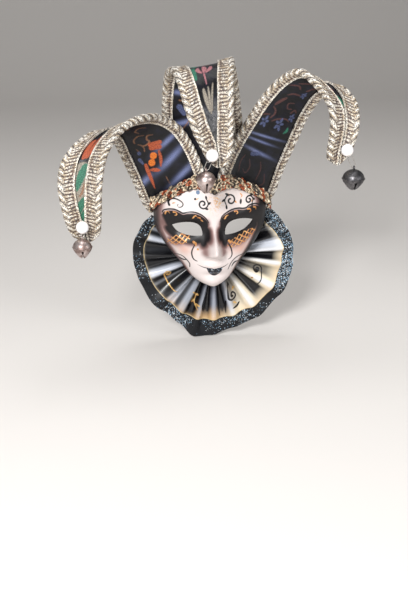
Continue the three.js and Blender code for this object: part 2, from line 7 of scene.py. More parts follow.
import bpy
import numpy as np
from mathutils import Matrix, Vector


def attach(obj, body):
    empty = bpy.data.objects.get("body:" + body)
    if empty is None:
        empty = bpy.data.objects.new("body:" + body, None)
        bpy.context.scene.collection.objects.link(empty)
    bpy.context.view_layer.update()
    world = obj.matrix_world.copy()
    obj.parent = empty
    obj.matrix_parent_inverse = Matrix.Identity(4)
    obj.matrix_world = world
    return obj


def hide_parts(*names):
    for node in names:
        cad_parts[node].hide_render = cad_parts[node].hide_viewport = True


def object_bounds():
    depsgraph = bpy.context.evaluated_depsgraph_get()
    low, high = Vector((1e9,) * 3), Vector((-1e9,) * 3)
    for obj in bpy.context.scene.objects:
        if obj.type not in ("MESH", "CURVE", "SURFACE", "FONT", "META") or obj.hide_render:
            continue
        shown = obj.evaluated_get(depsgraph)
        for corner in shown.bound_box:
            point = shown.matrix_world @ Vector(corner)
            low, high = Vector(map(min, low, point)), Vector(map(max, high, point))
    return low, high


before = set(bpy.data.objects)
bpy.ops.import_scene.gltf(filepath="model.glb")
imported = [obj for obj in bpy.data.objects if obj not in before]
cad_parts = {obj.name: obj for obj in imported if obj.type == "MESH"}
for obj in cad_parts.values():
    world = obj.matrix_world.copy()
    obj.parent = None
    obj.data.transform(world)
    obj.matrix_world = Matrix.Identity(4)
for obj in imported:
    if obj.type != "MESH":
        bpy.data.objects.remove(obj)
cad_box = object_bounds()

HANGING_POINT = np.array([0.0, -42.0, 126.0])
MILLIMETRE = 0.001
FRONT = np.array([0.0, -1.0, 0.0])
# Distance in millimetres that stands for no paint near
FAR = 9.0


# Camera

CAMERA_PLACE = (-0.15723, -1.0407, 0.26128)
CAMERA_DOWN = 21.5
CAMERA_TURN = -8.0
CAMERA_LENS = 52.94
CAMERA_SENSOR = 36.0
CAMERA_REACH = 100.0


def set_camera():
    """Camera at the photograph's angle, looking down from a little to the left of straight on."""
    lens = bpy.data.cameras.new("camera")
    lens.lens = CAMERA_LENS
    lens.sensor_width = CAMERA_SENSOR
    lens.clip_end = CAMERA_REACH
    camera = bpy.data.objects.new("camera", lens)
    camera.location = CAMERA_PLACE
    camera.rotation_euler = (math.radians(90 - CAMERA_DOWN), 0.0, math.radians(CAMERA_TURN))
    bpy.context.scene.collection.objects.link(camera)
    bpy.context.scene.camera = camera


set_camera()


# Tables and curves

def columns(names, rows):
    """Table of named columns, each an array down the rows."""
    return dict(zip(names, np.array(rows, float).T))


def through(keys, values, at):
    """Cubic through the values; the slope at each key is the rise between its two neighbours."""
    keys, values = np.asarray(keys, float), np.asarray(values, float)
    at = np.clip(at, keys[0], keys[-1])
    last = len(keys) - 1
    before = np.maximum(np.arange(last + 1) - 1, 0)
    after = np.minimum(np.arange(last + 1) + 1, last)
    slope = (values[after] - values[before]) / (keys[after] - keys[before])
    i = np.clip(np.searchsorted(keys, at) - 1, 0, last - 1)
    span = keys[i + 1] - keys[i]
    t = (at - keys[i]) / span
    rest = 1 - t
    ends = values[i] * rest * rest * (1 + 2 * t) + values[i + 1] * t * t * (1 + 2 * rest)
    return ends + span * t * rest * (slope[i] * rest - slope[i + 1] * t)


def spline_parts(points, place):
    """The four points round each place along a Catmull-Rom curve, and its share between the middle two."""
    points = np.asarray(points, float)
    padded = np.vstack([2 * points[0] - points[1], points, 2 * points[-1] - points[-2]])
    place = np.clip(place, 0, len(points) - 1)
    i = np.minimum(place.astype(int), len(points) - 2)
    return [padded[i + k] for k in range(4)], (place - i)[..., None]


def spline(points, place):
    """Catmull-Rom curve at places counted in points from the first."""
    (a, b, c, d), t = spline_parts(points, np.asarray(place, float))
    return 0.5 * (2 * b + (c - a) * t + (2 * a - 5 * b + 4 * c - d) * t ** 2
                  + (3 * b - 3 * c + d - a) * t ** 3)


def spline_slope(points, place):
    """Direction of the Catmull-Rom curve at places counted in points from the first."""
    (a, b, c, d), t = spline_parts(points, np.asarray(place, float))
    return unit(0.5 * (c - a + 2 * (2 * a - 5 * b + 4 * c - d) * t + 3 * (3 * b - 3 * c + d - a) * t ** 2))


def unit(vectors):
    """Vectors brought to length 1."""
    return vectors / np.maximum(np.linalg.norm(vectors, axis=-1, keepdims=True), 1e-12)


def bell_curve(offset, spread):
    """Gaussian swelling, 1 in the middle."""
    return np.exp(-(offset / spread) ** 2)


def ease(low, high, at):
    """Smooth step from 0 at low to 1 at high."""
    t = np.clip((at - low) / (high - low), 0, 1)
    return t * t * (3 - 2 * t)


# Meshes

def grid_quads(rows, across, wrap=False):
    """Quads of a grid of points stored row by row; wrap joins the last column to the first."""
    i = np.arange(rows - 1)[:, None]
    j = np.arange(across if wrap else across - 1)[None, :]
    after = (j + 1) % across
    corners = [i * across + j, i * across + after, (i + 1) * across + after, (i + 1) * across + j]
    return np.stack(np.broadcast_arrays(*corners), -1).reshape(-1, 4)


def welded(points, quads):
    """Points that round to the same hundredth of a millimetre made one.

    Returns the kept points, their places in the old list and the quads."""
    _, first, inverse = np.unique(np.round(points, 2), axis=0, return_index=True, return_inverse=True)
    return points[first], first, inverse.reshape(-1)[quads]


def point_normals(points, quads):
    """Unit normal at each point: the sum of its quads' diagonal cross products."""
    corner = points[quads]
    face = np.cross(corner[:, 2] - corner[:, 0], corner[:, 3] - corner[:, 1])
    total = np.zeros_like(points)
    np.add.at(total, quads.reshape(-1), np.repeat(face, 4, axis=0))
    return unit(total)


def facing(points, quads, towards):
    """Quads turned so that their normals lie along the given directions, not against them."""
    return quads if (point_normals(points, quads) * towards).sum() >= 0 else quads[:, ::-1]


def walled(points, quads, thickness, normals=None):
    """Closed wall: the sheet, a copy set in along its normals, and a strip round every open border.

    Returns the points, the quads and each quad's part: 0 for the sheet, 1 for the copy, 2 for the border."""
    normals = point_normals(points, quads) if normals is None else normals
    size = len(points)
    inner = points - normals * np.reshape(thickness, (-1, 1))
    starts, ends = quads.reshape(-1), np.roll(quads, -1, axis=1).reshape(-1)
    real = starts != ends
    starts, ends = starts[real], ends[real]
    open_edge = ~np.isin(starts * size + ends, ends * size + starts)
    a, b = starts[open_edge], ends[open_edge]
    border = np.stack([b, a, a + size, b + size], -1)
    part = np.repeat([0, 1, 2], [len(quads), len(quads), len(border)])
    return np.vstack([points, inner]), np.vstack([quads, quads[:, ::-1] + size, border]), part


def make_piece(name, points, quads, body, nodes, materials, part=None, values=None, crease=50):
    """Mesh object from points in millimetres and quads; repeated corners make triangles.

    values holds the numbers painted on the points, and part picks each quad's material."""
    same = quads == np.roll(quads, -1, axis=1)
    fours, threes = same.sum(1) == 0, same.sum(1) == 1
    loops = np.concatenate([quads[fours].reshape(-1), quads[threes][~same[threes]]])
    counts = np.repeat([4, 3], [fours.sum(), threes.sum()])
    mesh = bpy.data.meshes.new(name)
    mesh.vertices.add(len(points))
    mesh.vertices.foreach_set("co", ((points - HANGING_POINT) * MILLIMETRE).astype(np.float32).reshape(-1))
    mesh.loops.add(len(loops))
    mesh.loops.foreach_set("vertex_index", loops.astype(np.int32))
    mesh.polygons.add(len(counts))
    mesh.polygons.foreach_set("loop_start", (np.cumsum(counts) - counts).astype(np.int32))
    mesh.update(calc_edges=True)
    for material in materials:
        mesh.materials.append(material)
    if part is not None:
        chosen = np.concatenate([part[fours], part[threes]])
        mesh.polygons.foreach_set("material_index", chosen.astype(np.int32))
    for label, numbers in (values or {}).items():
        kind = "FLOAT_VECTOR" if np.ndim(numbers) == 2 else "FLOAT"
        layer = mesh.attributes.new(label, kind, "POINT")
        layer.data.foreach_set("vector" if kind == "FLOAT_VECTOR" else "value",
                               np.asarray(numbers, np.float32).reshape(-1))
    mesh.polygons.foreach_set("use_smooth", np.ones(len(counts), bool))
    mesh.set_sharp_from_angle(angle=math.radians(crease))
    mesh.validate()
    piece = bpy.data.objects.new(name, mesh)
    bpy.context.scene.collection.objects.link(piece)
    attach(piece, body)
    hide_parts(*nodes)
    return piece


def tube(path, radius, sides, across):
    """Closed tube: circles carried along a path, started from a direction across it, ends drawn to points."""
    path = np.asarray(path, float)
    radius = np.broadcast_to(radius, len(path)).astype(float)
    along = unit(np.gradient(path, axis=0))
    side = np.broadcast_to(across, path.shape)
    side = unit(side - along * (side * along).sum(-1, keepdims=True))
    third = np.cross(along, side)
    turn = np.linspace(0, 2 * np.pi, sides, endpoint=False)
    ring = (side[:, None] * np.cos(turn)[None, :, None]
            + third[:, None] * np.sin(turn)[None, :, None]) * radius[:, None, None]
    rows = np.concatenate([np.repeat(path[:1, None], sides, 1), path[:, None] + ring,
                           np.repeat(path[-1:, None], sides, 1)])
    points, _, quads = welded(rows.reshape(-1, 3), grid_quads(len(rows), sides, wrap=True))
    return points, outward(points, quads)


def outward(points, quads):
    """Quads of a closed body turned so that its volume is positive."""
    corner = points[quads]
    volume = np.einsum("ij,ij->", corner[:, 0], np.cross(corner[:, 1], corner[:, 2]))
    volume += np.einsum("ij,ij->", corner[:, 0], np.cross(corner[:, 2], corner[:, 3]))
    return quads if volume > 0 else quads[:, ::-1]


def joined(bodies):
    """Several bodies of points and quads as one, with the number of the body that each quad is from."""
    offsets = np.cumsum([0] + [len(points) for points, _ in bodies[:-1]])
    quads = np.vstack([q + offset for (_, q), offset in zip(bodies, offsets)])
    which = np.repeat(np.arange(len(bodies)), [len(q) for _, q in bodies])
    return np.vstack([points for points, _ in bodies]), quads, which


# Brush strokes

STROKE_STEPS = 26


def stroke_distance(places, points, start, end, swell=0.0):
    """Distance from each place to a brush stroke's edge, negative inside it.

    The stroke follows a Catmull-Rom curve through its points; its width goes from start to end, with a swell
    in the middle."""
    points = np.asarray(points, float)
    steps = np.linspace(0, len(points) - 1, STROKE_STEPS * len(points))
    line = spline(points, steps) if len(points) > 1 else points
    share = steps / max(len(points) - 1, 1) if len(points) > 1 else np.zeros(1)
    half = 0.5 * (start + (end - start) * share + swell * 4 * share * (1 - share))
    found = np.full(len(places), FAR)
    reach = half.max() + FAR / 2
    near = np.all((places > line.min(0) - reach) & (places < line.max(0) + reach), axis=1)
    gap = np.linalg.norm(places[near][:, None] - line[None], axis=-1) - half[None]
    found[near] = gap.min(1)
    return found


def painted(places, strokes):
    """Least distance to any of a list of strokes, each of its points, start width, end width and swell."""
    found = np.full(len(places), FAR)
    for points, *widths in strokes:
        found = np.minimum(found, stroke_distance(places, points, *widths))
    return found


def outline_distance(places, outline):
    """Signed distance to a closed outline, negative inside, and the nearest point on it."""
    after = np.roll(outline, -1, axis=0)
    edge = after - outline
    offset = places[:, None] - outline[None]
    share = np.clip((offset * edge).sum(-1) / (edge * edge).sum(-1), 0, 1)
    nearest = outline[None] + share[..., None] * edge[None]
    distance = np.linalg.norm(places[:, None] - nearest, axis=-1)
    best = distance.argmin(1)
    rows = np.arange(len(places))
    above = (outline[None, :, 1] > places[:, None, 1]) != (after[None, :, 1] > places[:, None, 1])
    rise = np.where(np.abs(edge[:, 1]) < 1e-9, 1e-9, edge[:, 1])
    crossing = outline[None, :, 0] + (places[:, None, 1] - outline[None, :, 1]) / rise * edge[None, :, 0]
    inside = (above & (places[:, None, 0] < crossing)).sum(1) % 2 == 1
    return np.where(inside, -1, 1) * distance[rows, best], nearest[rows, best]


# Shader nodes

MIX_FACTOR = 0
MIX_FIRST = 6
MIX_SECOND = 7
MIX_RESULT = 2


def linear(red, green, blue):
    """Colour given as screen values from 0 to 255, as the linear colour a shader takes."""
    screen = np.array([red, green, blue]) / 255
    light = np.where(screen <= 0.04045, screen / 12.92, ((screen + 0.055) / 1.055) ** 2.4)
    return (*light.tolist(), 1.0)


def set_input(tree, socket, value):
    """Gives a socket a plain value, or links it to the socket that feeds it."""
    if isinstance(value, bpy.types.NodeSocket):
        tree.links.new(value, socket)
    else:
        socket.default_value = value


def node(tree, kind, inputs=None, **settings):
    """New node with its settings; an input is a plain value or the socket that feeds it."""
    made = tree.nodes.new(kind)
    for label, value in settings.items():
        setattr(made, label, value)
    for label, value in (inputs or {}).items():
        set_input(tree, made.inputs[label], value)
    return made


def math_node(tree, operation, first, second=0.0, third=0.0):
    """Output of a Math node."""
    return node(tree, "ShaderNodeMath", {0: first, 1: second, 2: third}, operation=operation).outputs[0]


def mixed(tree, factor, first, second):
    """Output of a colour Mix node; its sockets go by number, because their names repeat."""
    inputs = {MIX_FACTOR: factor, MIX_FIRST: first, MIX_SECOND: second}
    return node(tree, "ShaderNodeMix", inputs, data_type="RGBA").outputs[MIX_RESULT]


def spread(tree, value, low, high, bottom=0.0, top=1.0):
    """Smooth step of a value from low to high onto bottom to top."""
    made = node(tree, "ShaderNodeMapRange", {"Value": value, "From Min": low, "From Max": high,
                                             "To Min": bottom, "To Max": top},
                interpolation_type="SMOOTHSTEP")
    return made.outputs["Result"]


def painted_value(tree, label, output="Fac"):
    """A number painted on the piece's points, or, as the output Vector, a place in millimetres."""
    made = node(tree, "ShaderNodeAttribute", attribute_name=label, attribute_type="GEOMETRY")
    return made.outputs[output]


def object_place(tree):
    """Place in the frame, in metres."""
    return node(tree, "ShaderNodeTexCoord").outputs["Object"]


def new_group(name, inputs, outputs):
    """Empty node group with named sockets, with each socket's kind and each input's value."""
    group = bpy.data.node_groups.new(name, "ShaderNodeTree")
    for label, kind, value in inputs:
        socket = group.interface.new_socket(label, in_out="INPUT", socket_type="NodeSocket" + kind)
        if value is not None:
            socket.default_value = value
    for label, kind in outputs:
        group.interface.new_socket(label, in_out="OUTPUT", socket_type="NodeSocket" + kind)
    return group, group.nodes.new("NodeGroupInput").outputs, group.nodes.new("NodeGroupOutput").inputs


def stroke_group():
    """Paint laid over a colour wherever a painted distance is below zero, with a soft edge."""
    group, given, out = new_group(
        "Brush stroke",
        [("Under", "Color", None), ("Paint", "Color", None), ("Distance", "Float", 1.0),
         ("Softness", "Float", 0.25), ("Cover", "Float", 1.0)],
        [("Colour", "Color"), ("Mask", "Float")])
    low = math_node(group, "MULTIPLY", given["Softness"], -1.0)
    step = node(group, "ShaderNodeMapRange", {"Value": given["Distance"], "From Min": given["Softness"],
                                              "From Max": low}, interpolation_type="SMOOTHSTEP")
    mask = math_node(group, "MULTIPLY", step.outputs["Result"], given["Cover"])
    group.links.new(mixed(group, mask, given["Under"], given["Paint"]), out["Colour"])
    group.links.new(mask, out["Mask"])
    return group


def glitter_group():
    """Small flakes, each with its own brightness and one of two tints; Amount is the share that shines."""
    group, given, out = new_group(
        "Glitter",
        [("Place", "Vector", None), ("Scale", "Float", 900.0), ("Amount", "Float", 0.3),
         ("Cold", "Color", None), ("Warm", "Color", None)],
        [("Shine", "Float"), ("Tint", "Color"), ("Height", "Float")])
    cells = node(group, "ShaderNodeTexVoronoi", {"Vector": given["Place"], "Scale": given["Scale"]})
    split = node(group, "ShaderNodeSeparateColor", {"Color": cells.outputs["Color"]})
    edge = math_node(group, "SUBTRACT", 1.0, given["Amount"])
    lit = math_node(group, "GREATER_THAN", split.outputs["Red"], edge)
    strength = math_node(group, "MULTIPLY_ADD", split.outputs["Green"], 0.8, 0.2)
    power = math_node(group, "MULTIPLY", lit, strength)
    cold = math_node(group, "GREATER_THAN", split.outputs["Blue"], 0.45)
    group.links.new(power, out["Shine"])
    group.links.new(mixed(group, cold, given["Warm"], given["Cold"]), out["Tint"])
    group.links.new(split.outputs["Green"], out["Height"])
    return group


def thread_group():
    """Twisted metal thread: light and dark bands along a slanted line, broken up by noise.

    Place is in millimetres, across in x and along in y; Pitch is the length of one twist."""
    group, given, out = new_group(
        "Twisted thread",
        [("Place", "Vector", None), ("Pitch", "Float", 1.2), ("Slant", "Float", 0.8),
         ("Fleck", "Float", 0.3)],
        [("Band", "Float"), ("Fleck", "Float"), ("Height", "Float")])
    split = node(group, "ShaderNodeSeparateXYZ", {"Vector": given["Place"]})
    slanted = math_node(group, "MULTIPLY_ADD", split.outputs["X"], given["Slant"], split.outputs["Y"])
    turns = math_node(group, "DIVIDE", math_node(group, "MULTIPLY", slanted, 2 * math.pi), given["Pitch"])
    band = math_node(group, "MULTIPLY_ADD", math_node(group, "SINE", turns), 0.5, 0.5)
    rough = node(group, "ShaderNodeTexNoise", {"Vector": given["Place"], "Scale": 0.36, "Detail": 2.0})
    low = math_node(group, "SUBTRACT", 0.70, given["Fleck"])
    high = math_node(group, "ADD", low, 0.06)
    step = node(group, "ShaderNodeMapRange",
                {"Value": rough.outputs["Fac"], "From Min": high, "From Max": low})
    group.links.new(band, out["Band"])
    group.links.new(step.outputs["Result"], out["Fleck"])
    group.links.new(band, out["Height"])
    return group


def grain_group():
    """Paper and paint grain: broad blotches and fine grain, as two values about a half."""
    group, given, out = new_group(
        "Paper grain",
        [("Place", "Vector", None), ("Blotch", "Float", 60.0), ("Fine", "Float", 900.0)],
        [("Blotch", "Float"), ("Fine", "Float")])
    for label, detail in (("Blotch", 3.0), ("Fine", 2.0)):
        noise = node(group, "ShaderNodeTexNoise",
                     {"Vector": given["Place"], "Scale": given[label], "Detail": detail})
        group.links.new(noise.outputs["Fac"], out[label])
    return group


STROKE = stroke_group()
GLITTER = glitter_group()
THREAD = thread_group()
GRAIN = grain_group()


def placed(tree, group, inputs):
    """Outputs of a node group placed in a material with its own values."""
    return node(tree, "ShaderNodeGroup", inputs, node_tree=group).outputs


def new_material(name, **constants):
    """Material with a Principled shader; constants are set on its own sockets."""
    material = bpy.data.materials.new(name)
    material.use_nodes = True
    tree = material.node_tree
    tree.nodes.clear()
    shader = node(tree, "ShaderNodeBsdfPrincipled",
                  {label.replace("_", " "): value for label, value in constants.items()})
    node(tree, "ShaderNodeOutputMaterial", {"Surface": shader.outputs["BSDF"]})
    return material, tree, shader


def feed(tree, shader, **sockets):
    """Links the sockets that change over the surface to the shader's inputs."""
    for label, socket in sockets.items():
        tree.links.new(socket, shader.inputs[label.replace("_", " ")])


def bumped(tree, height, strength, distance):
    """Normal from a height."""
    return node(tree, "ShaderNodeBump", {"Height": height, "Strength": strength, "Distance": distance}
                ).outputs["Normal"]


# Face

FACE_WALL = 2.5
FACE_RIM_Y = -14.3
FACE_FULLNESS = 0.85
FACE_SECTIONS = columns(["z", "half_width", "depth"], [
    [0, 0, 29], [2.5, 14, 34], [10, 26, 37], [28, 39.5, 38], [40, 49, 38], [57, 60.5, 37.5],
    [73, 68, 37], [97, 70, 40], [106, 68.5, 38.5], [118, 63, 35], [131, 54, 28], [140, 47, 22]])
FOREHEAD_EDGE = columns(["angle", "z"], [[0, 126], [23, 131], [51, 119], [72, 107], [90, 97]])
# Soft swellings on both sides: middle across, height, breadth, tallness and rise
FACE_FEATURES = [
    (30, 93, 20, 7, 3.5), (31, 76, 17, 9, -8), (37, 56, 15, 13, 4), (0, 29, 20, 13, 4), (5, 31, 7, 2.6, 2),
    (0, 24, 9, 3.2, 3.5), (0, 17, 12, 4, -2.5), (0, 9, 11, 7, 3), (9.5, 45.5, 4.5, 4.5, 5)]
NOSE = columns(["z", "height", "breadth"], [
    [37, 0, 10], [42, 6, 10], [46, 19, 9.5], [51, 24, 8.5], [60, 18, 7.5], [70, 9, 6.5], [80, 4, 6.5],
    [92, 0, 8]])
# Upper and lower edge of an eye hole: Bezier handles (x, z), and how much of the eye's lift each takes
EYE_CURVES = [((14, 68), (13, 88), (33, 88), (50.5, 80.5)), ((50.5, 80.5), (46, 70), (30, 66), (14, 68))]
EYE_LIFTS = [(0, 0.5, 1, 1), (1, 1, 0.5, 0)]
EYE_STEPS = 60
# Side and lift of each eye hole
EYES = [(-1, 0), (1, 3)]
# Part of the face that holds an eye hole: from and to across, and from and to in height
EYE_ACROSS = (6, 60)
EYE_LEVELS = (58, 98)


def face_relief(x, z):
    """Nose ridge (its height times a bell curve across) plus the soft swellings of the face."""
    breadth = through(NOSE["z"], NOSE["breadth"], z)
    height = through(NOSE["z"], NOSE["height"], z) * bell_curve(x, breadth)
    for middle, level, wide, tall, rise in FACE_FEATURES:
        for side in {-middle, middle}:
            height = height + rise * bell_curve(x - side, wide) * bell_curve(z - level, tall)
    return height


def face_half_width(z):
    """Half the face's width at a height, a cubic in the root of the height so that the chin is round."""
    return through(np.sqrt(FACE_SECTIONS["z"]), FACE_SECTIONS["half_width"], np.sqrt(np.maximum(z, 0)))


def face_points(x, z):
    """Oval section before the rim, depth times (1 - (x / half width) squared) to a power, plus the relief."""
    across = np.clip(x / np.maximum(face_half_width(z), 1e-6), -1, 1)
    forward = np.sqrt(1 - across ** 2)
    depth = through(np.sqrt(FACE_SECTIONS["z"]), FACE_SECTIONS["depth"], np.sqrt(np.maximum(z, 0)))
    y = FACE_RIM_Y - depth * forward ** FACE_FULLNESS - face_relief(x, z) * forward
    return np.stack([x, y, z], -1)


def forehead_edge(angle):
    """Height of the forehead's edge by angle from the middle."""
    return through(FOREHEAD_EDGE["angle"], FOREHEAD_EDGE["z"], np.abs(angle))


def eye_outline(side, rise):
    """Two cubic Bezier curves from corner to corner."""
    t = np.linspace(0, 1, EYE_STEPS, endpoint=False)[:, None]
    weights = np.hstack([(1 - t) ** 3, 3 * t * (1 - t) ** 2, 3 * t * t * (1 - t), t ** 3])
    halves = []
    for curve, lifts in zip(EYE_CURVES, EYE_LIFTS):
        handles = np.array([(side * x, z + lift * rise) for (x, z), lift in zip(curve, lifts)], float)
        halves.append(weights @ handles)
    return np.vstack(halves)


COIL_POINTS = 12
COIL_CLOSING = 0.8
LEAF_SHARES = (0.0, 0.12, 0.24)
LEAF_LEAN = 50
LEAF_LENGTH = 0.62


def coil(middle, radius, start, turns):
    """Points of a spiral from its start angle in towards its middle."""
    share = np.linspace(0, 1, COIL_POINTS)
    turn = np.radians(start + 360 * turns * share)
    reach = radius * (1 - COIL_CLOSING * share)
    return np.stack([middle[0] + reach * np.cos(turn), middle[1] + reach * np.sin(turn)], -1).tolist()


def frond(middle, radius, start, turns):
    """Strokes of a leafy scroll: a coil, and three leaves that lean back off its outer side."""
    strokes = [(coil(middle, radius, start, turns), 1.3, 1.9, 0.4)]
    for share in LEAF_SHARES:
        turn = math.radians(start + 360 * turns * share)
        lean = turn - math.copysign(math.radians(LEAF_LEAN), turns)
        foot = middle + radius * (1 - COIL_CLOSING * share) * np.array([math.cos(turn), math.sin(turn)])
        tip = foot + LEAF_LENGTH * radius * np.array([math.cos(lean), math.sin(lean)])
        strokes.append(([foot, tip], 0.6, 0.4, 2.0))
    return strokes


# Paint on the face: each stroke's points (x, z), its width at the start and end, and its swell
INK = [
    ([(-52.8, 105.1), (-53.7, 109), (-50.8, 112.5), (-45.9, 113), (-40.3, 111), (-37.1, 107.9),
      (-37.8, 104.8), (-41.4, 103.3), (-43.6, 105.2), (-42.4, 107)], 2.6, 0.7, 0.0),
    ([(-41, 116.6), (-38.5, 119), (-37, 122)], 0.8, 0.5, 0.9),
    ([(-50.4, 112.6), (-53.4, 115.6)], 0.5, 0.5, 1.6),
    ([(-22.6, 113.4)], 3.0, 3.0, 0.0),
    *frond((-13.6, 107.6), 6.8, 50, -1.35), *frond((20, 110.8), 7.8, 225, -1.35),
    *frond((43.4, 109), 5.8, -45, 1.35),
    ([(32.4, 105.2), (33, 111.4)], 0.6, 0.4, 2.4),
    ([(-61, 95.2), (-59.4, 98.3), (-53.8, 100.4), (-47.3, 100.7), (-41.7, 98.8), (-37.6, 97), (-32.7, 98.2),
      (-26, 98.7), (-19.3, 97), (-13.3, 93.3), (-8.9, 88.4), (-7, 84.6)], 1.3, 1.1, 0.8),
    ([(6.8, 85), (9.1, 92.4), (15.2, 97.4), (22.3, 100.3), (29.5, 101), (35, 100.2), (39.7, 100.6),
      (43.6, 102.9), (50.4, 103.5), (56.3, 101.5), (59.5, 96.4)], 1.1, 1.3, 0.8),
    ([(-50, 36.4), (-45, 41.4), (-38.7, 41.2), (-33.7, 37.3), (-29.2, 31.4), (-28.6, 25.8)], 0.6, 1.0, 0.5),
    ([(-42, 38), (-37.4, 35.6), (-32.6, 35.8)], 0.4, 0.4, 1.8),
    ([(17.8, 23.2), (22.2, 32), (29.7, 38.1), (38.8, 40.4), (43, 45.4)], 1.0, 0.6, 0.5),
    ([(22.5, 25.8), (26.3, 30.8), (32.7, 31.4)], 0.4, 0.4, 1.8),
    ([(-23.6, 57), (-26.6, 50), (-26.8, 44), (-24.7, 38.2), (-20.5, 35.6)], 1.4, 1.0, 0.5),
    ([(18.2, 56.6), (21.2, 50.4), (22.6, 43), (20.8, 38.6), (17.6, 36.8)], 1.8, 0.7, 0.3),
    ([(-20.5, 31.6), (-13.9, 28.9), (-7.3, 27.8), (0, 27.0), (7, 27.6), (12.5, 28.8), (18.2, 31.4)],
     0.4, 0.4, 1.0),
]
LIP = [(-9.6, 27.6), (-4.4, 28.2), (0, 27.2), (4.6, 28.2), (9.6, 27.4), (8.2, 22.6), (4.4, 18.2), (0.6, 16.8),
       (-3.2, 18), (-7.2, 22.2)]
LIP_STEPS = 90
BLUE = [([(-19, 120.7)], 4.8, 4.8, 0.0)]
GILT = [
    ([(-57.6, 94.2), (-56.6, 97), (-54, 97.6), (-52.8, 95.6)], 1.8, 0.8, 0.0),
    ([(-48.4, 97.6), (-45.6, 97.2), (-44.6, 94.6), (-46.8, 93.6)], 2.0, 0.8, 0.0),
    ([(-26.4, 91.2), (-23.6, 94.4), (-21.2, 93.4)], 1.6, 0.8, 0.4),
    ([(-20, 92), (-17.6, 91.4), (-16.6, 89.4)], 1.6, 0.8, 0.2),
    ([(-15.6, 88), (-13.8, 86.4)], 1.8, 0.9, 0.0),
    ([(12.6, 89.4), (14, 92.6), (16.6, 94)], 2.0, 0.8, 0.2),
    ([(24.4, 97.8), (27.2, 98), (28.2, 95.8), (26.4, 94.6)], 1.8, 0.8, 0.0),
    ([(41, 98.8), (44, 98.6), (45.4, 96), (43.6, 94.6)], 2.0, 0.8, 0.0),
    ([(49.4, 100), (52, 99.2), (52.4, 96.4)], 1.8, 0.8, 0.0),
    ([(-24.9, 60.5), (-22.4, 58.4), (-22.6, 55.6)], 2.8, 1.4, 0.6),
    ([(-19.8, 51.2)], 2.8, 2.8, 0.0),
    ([(18.6, 60.4), (20.4, 57.4)], 3.2, 1.6, 0.0),
    ([(25.2, 109.4), (27, 107.6)], 2.4, 1.4, 0.0),
    ([(-49.4, 107.4), (-46, 108.4)], 0.9, 0.6, 0.6),
    ([(17.6, 118.4), (18.4, 114.6)], 1.0, 0.6, 0.4),
    ([(32.6, 117.4), (34.6, 114.6), (32.8, 112.6)], 1.4, 0.6, 0.2),
    ([(47.6, 108.4), (46.4, 105.8)], 1.2, 0.6, 0.2),
    ([(-21.6, 112.6), (-18.2, 114.4)], 1.0, 0.6, 0.3),
]
# Upper edge of the dark brow on each side, by the distance from the middle line
BROW_LINES = {
    -1: columns(["a", "z"], [
        [7, 84.6], [8.9, 88.4], [13.3, 93.3], [19.3, 97], [26, 98.7], [32.7, 98.2], [37.6, 97], [41.7, 98.8],
        [47.3, 100.7], [53.8, 100.4], [59.4, 98.3], [61, 95.2]]),
    1: columns(["a", "z"], [
        [6.8, 85], [9.1, 92.4], [15.2, 97.4], [22.3, 100.3], [29.5, 101], [35, 100.2], [39.7, 100.6],
        [43.6, 102.9], [50.4, 103.5], [56.3, 101.5], [59.5, 96.4]]),
}
# Gilt nets under the eyes: middle across, height, half width, half height and tilt
NETS = [(-42, 62.5, 14, 6.5, 0.28), (35, 62, 18, 6.5, 0.42)]
NET_PITCH = 4.6
NET_LINE = 1.1
NET_SLOPES = (0.9, -0.9)
NET_SHADE = 0.72


def net_distance(x, z):
    """Distance to two families of slanted lines, a pitch apart, inside a tilted oval under each eye."""
    found = np.full(len(x), FAR)
    for middle, level, wide, tall, tilt in NETS:
        a, b = x - middle, z - level - tilt * (x - middle)
        oval = (np.sqrt((a / wide) ** 2 + (b / tall) ** 2) - 1) * tall
        lines = [np.abs((b + slope * a) / math.hypot(1, slope) % NET_PITCH - NET_PITCH / 2)
                 for slope in NET_SLOPES]
        found = np.minimum(found, np.maximum(np.minimum(*lines) - NET_LINE / 2, oval))
    return found


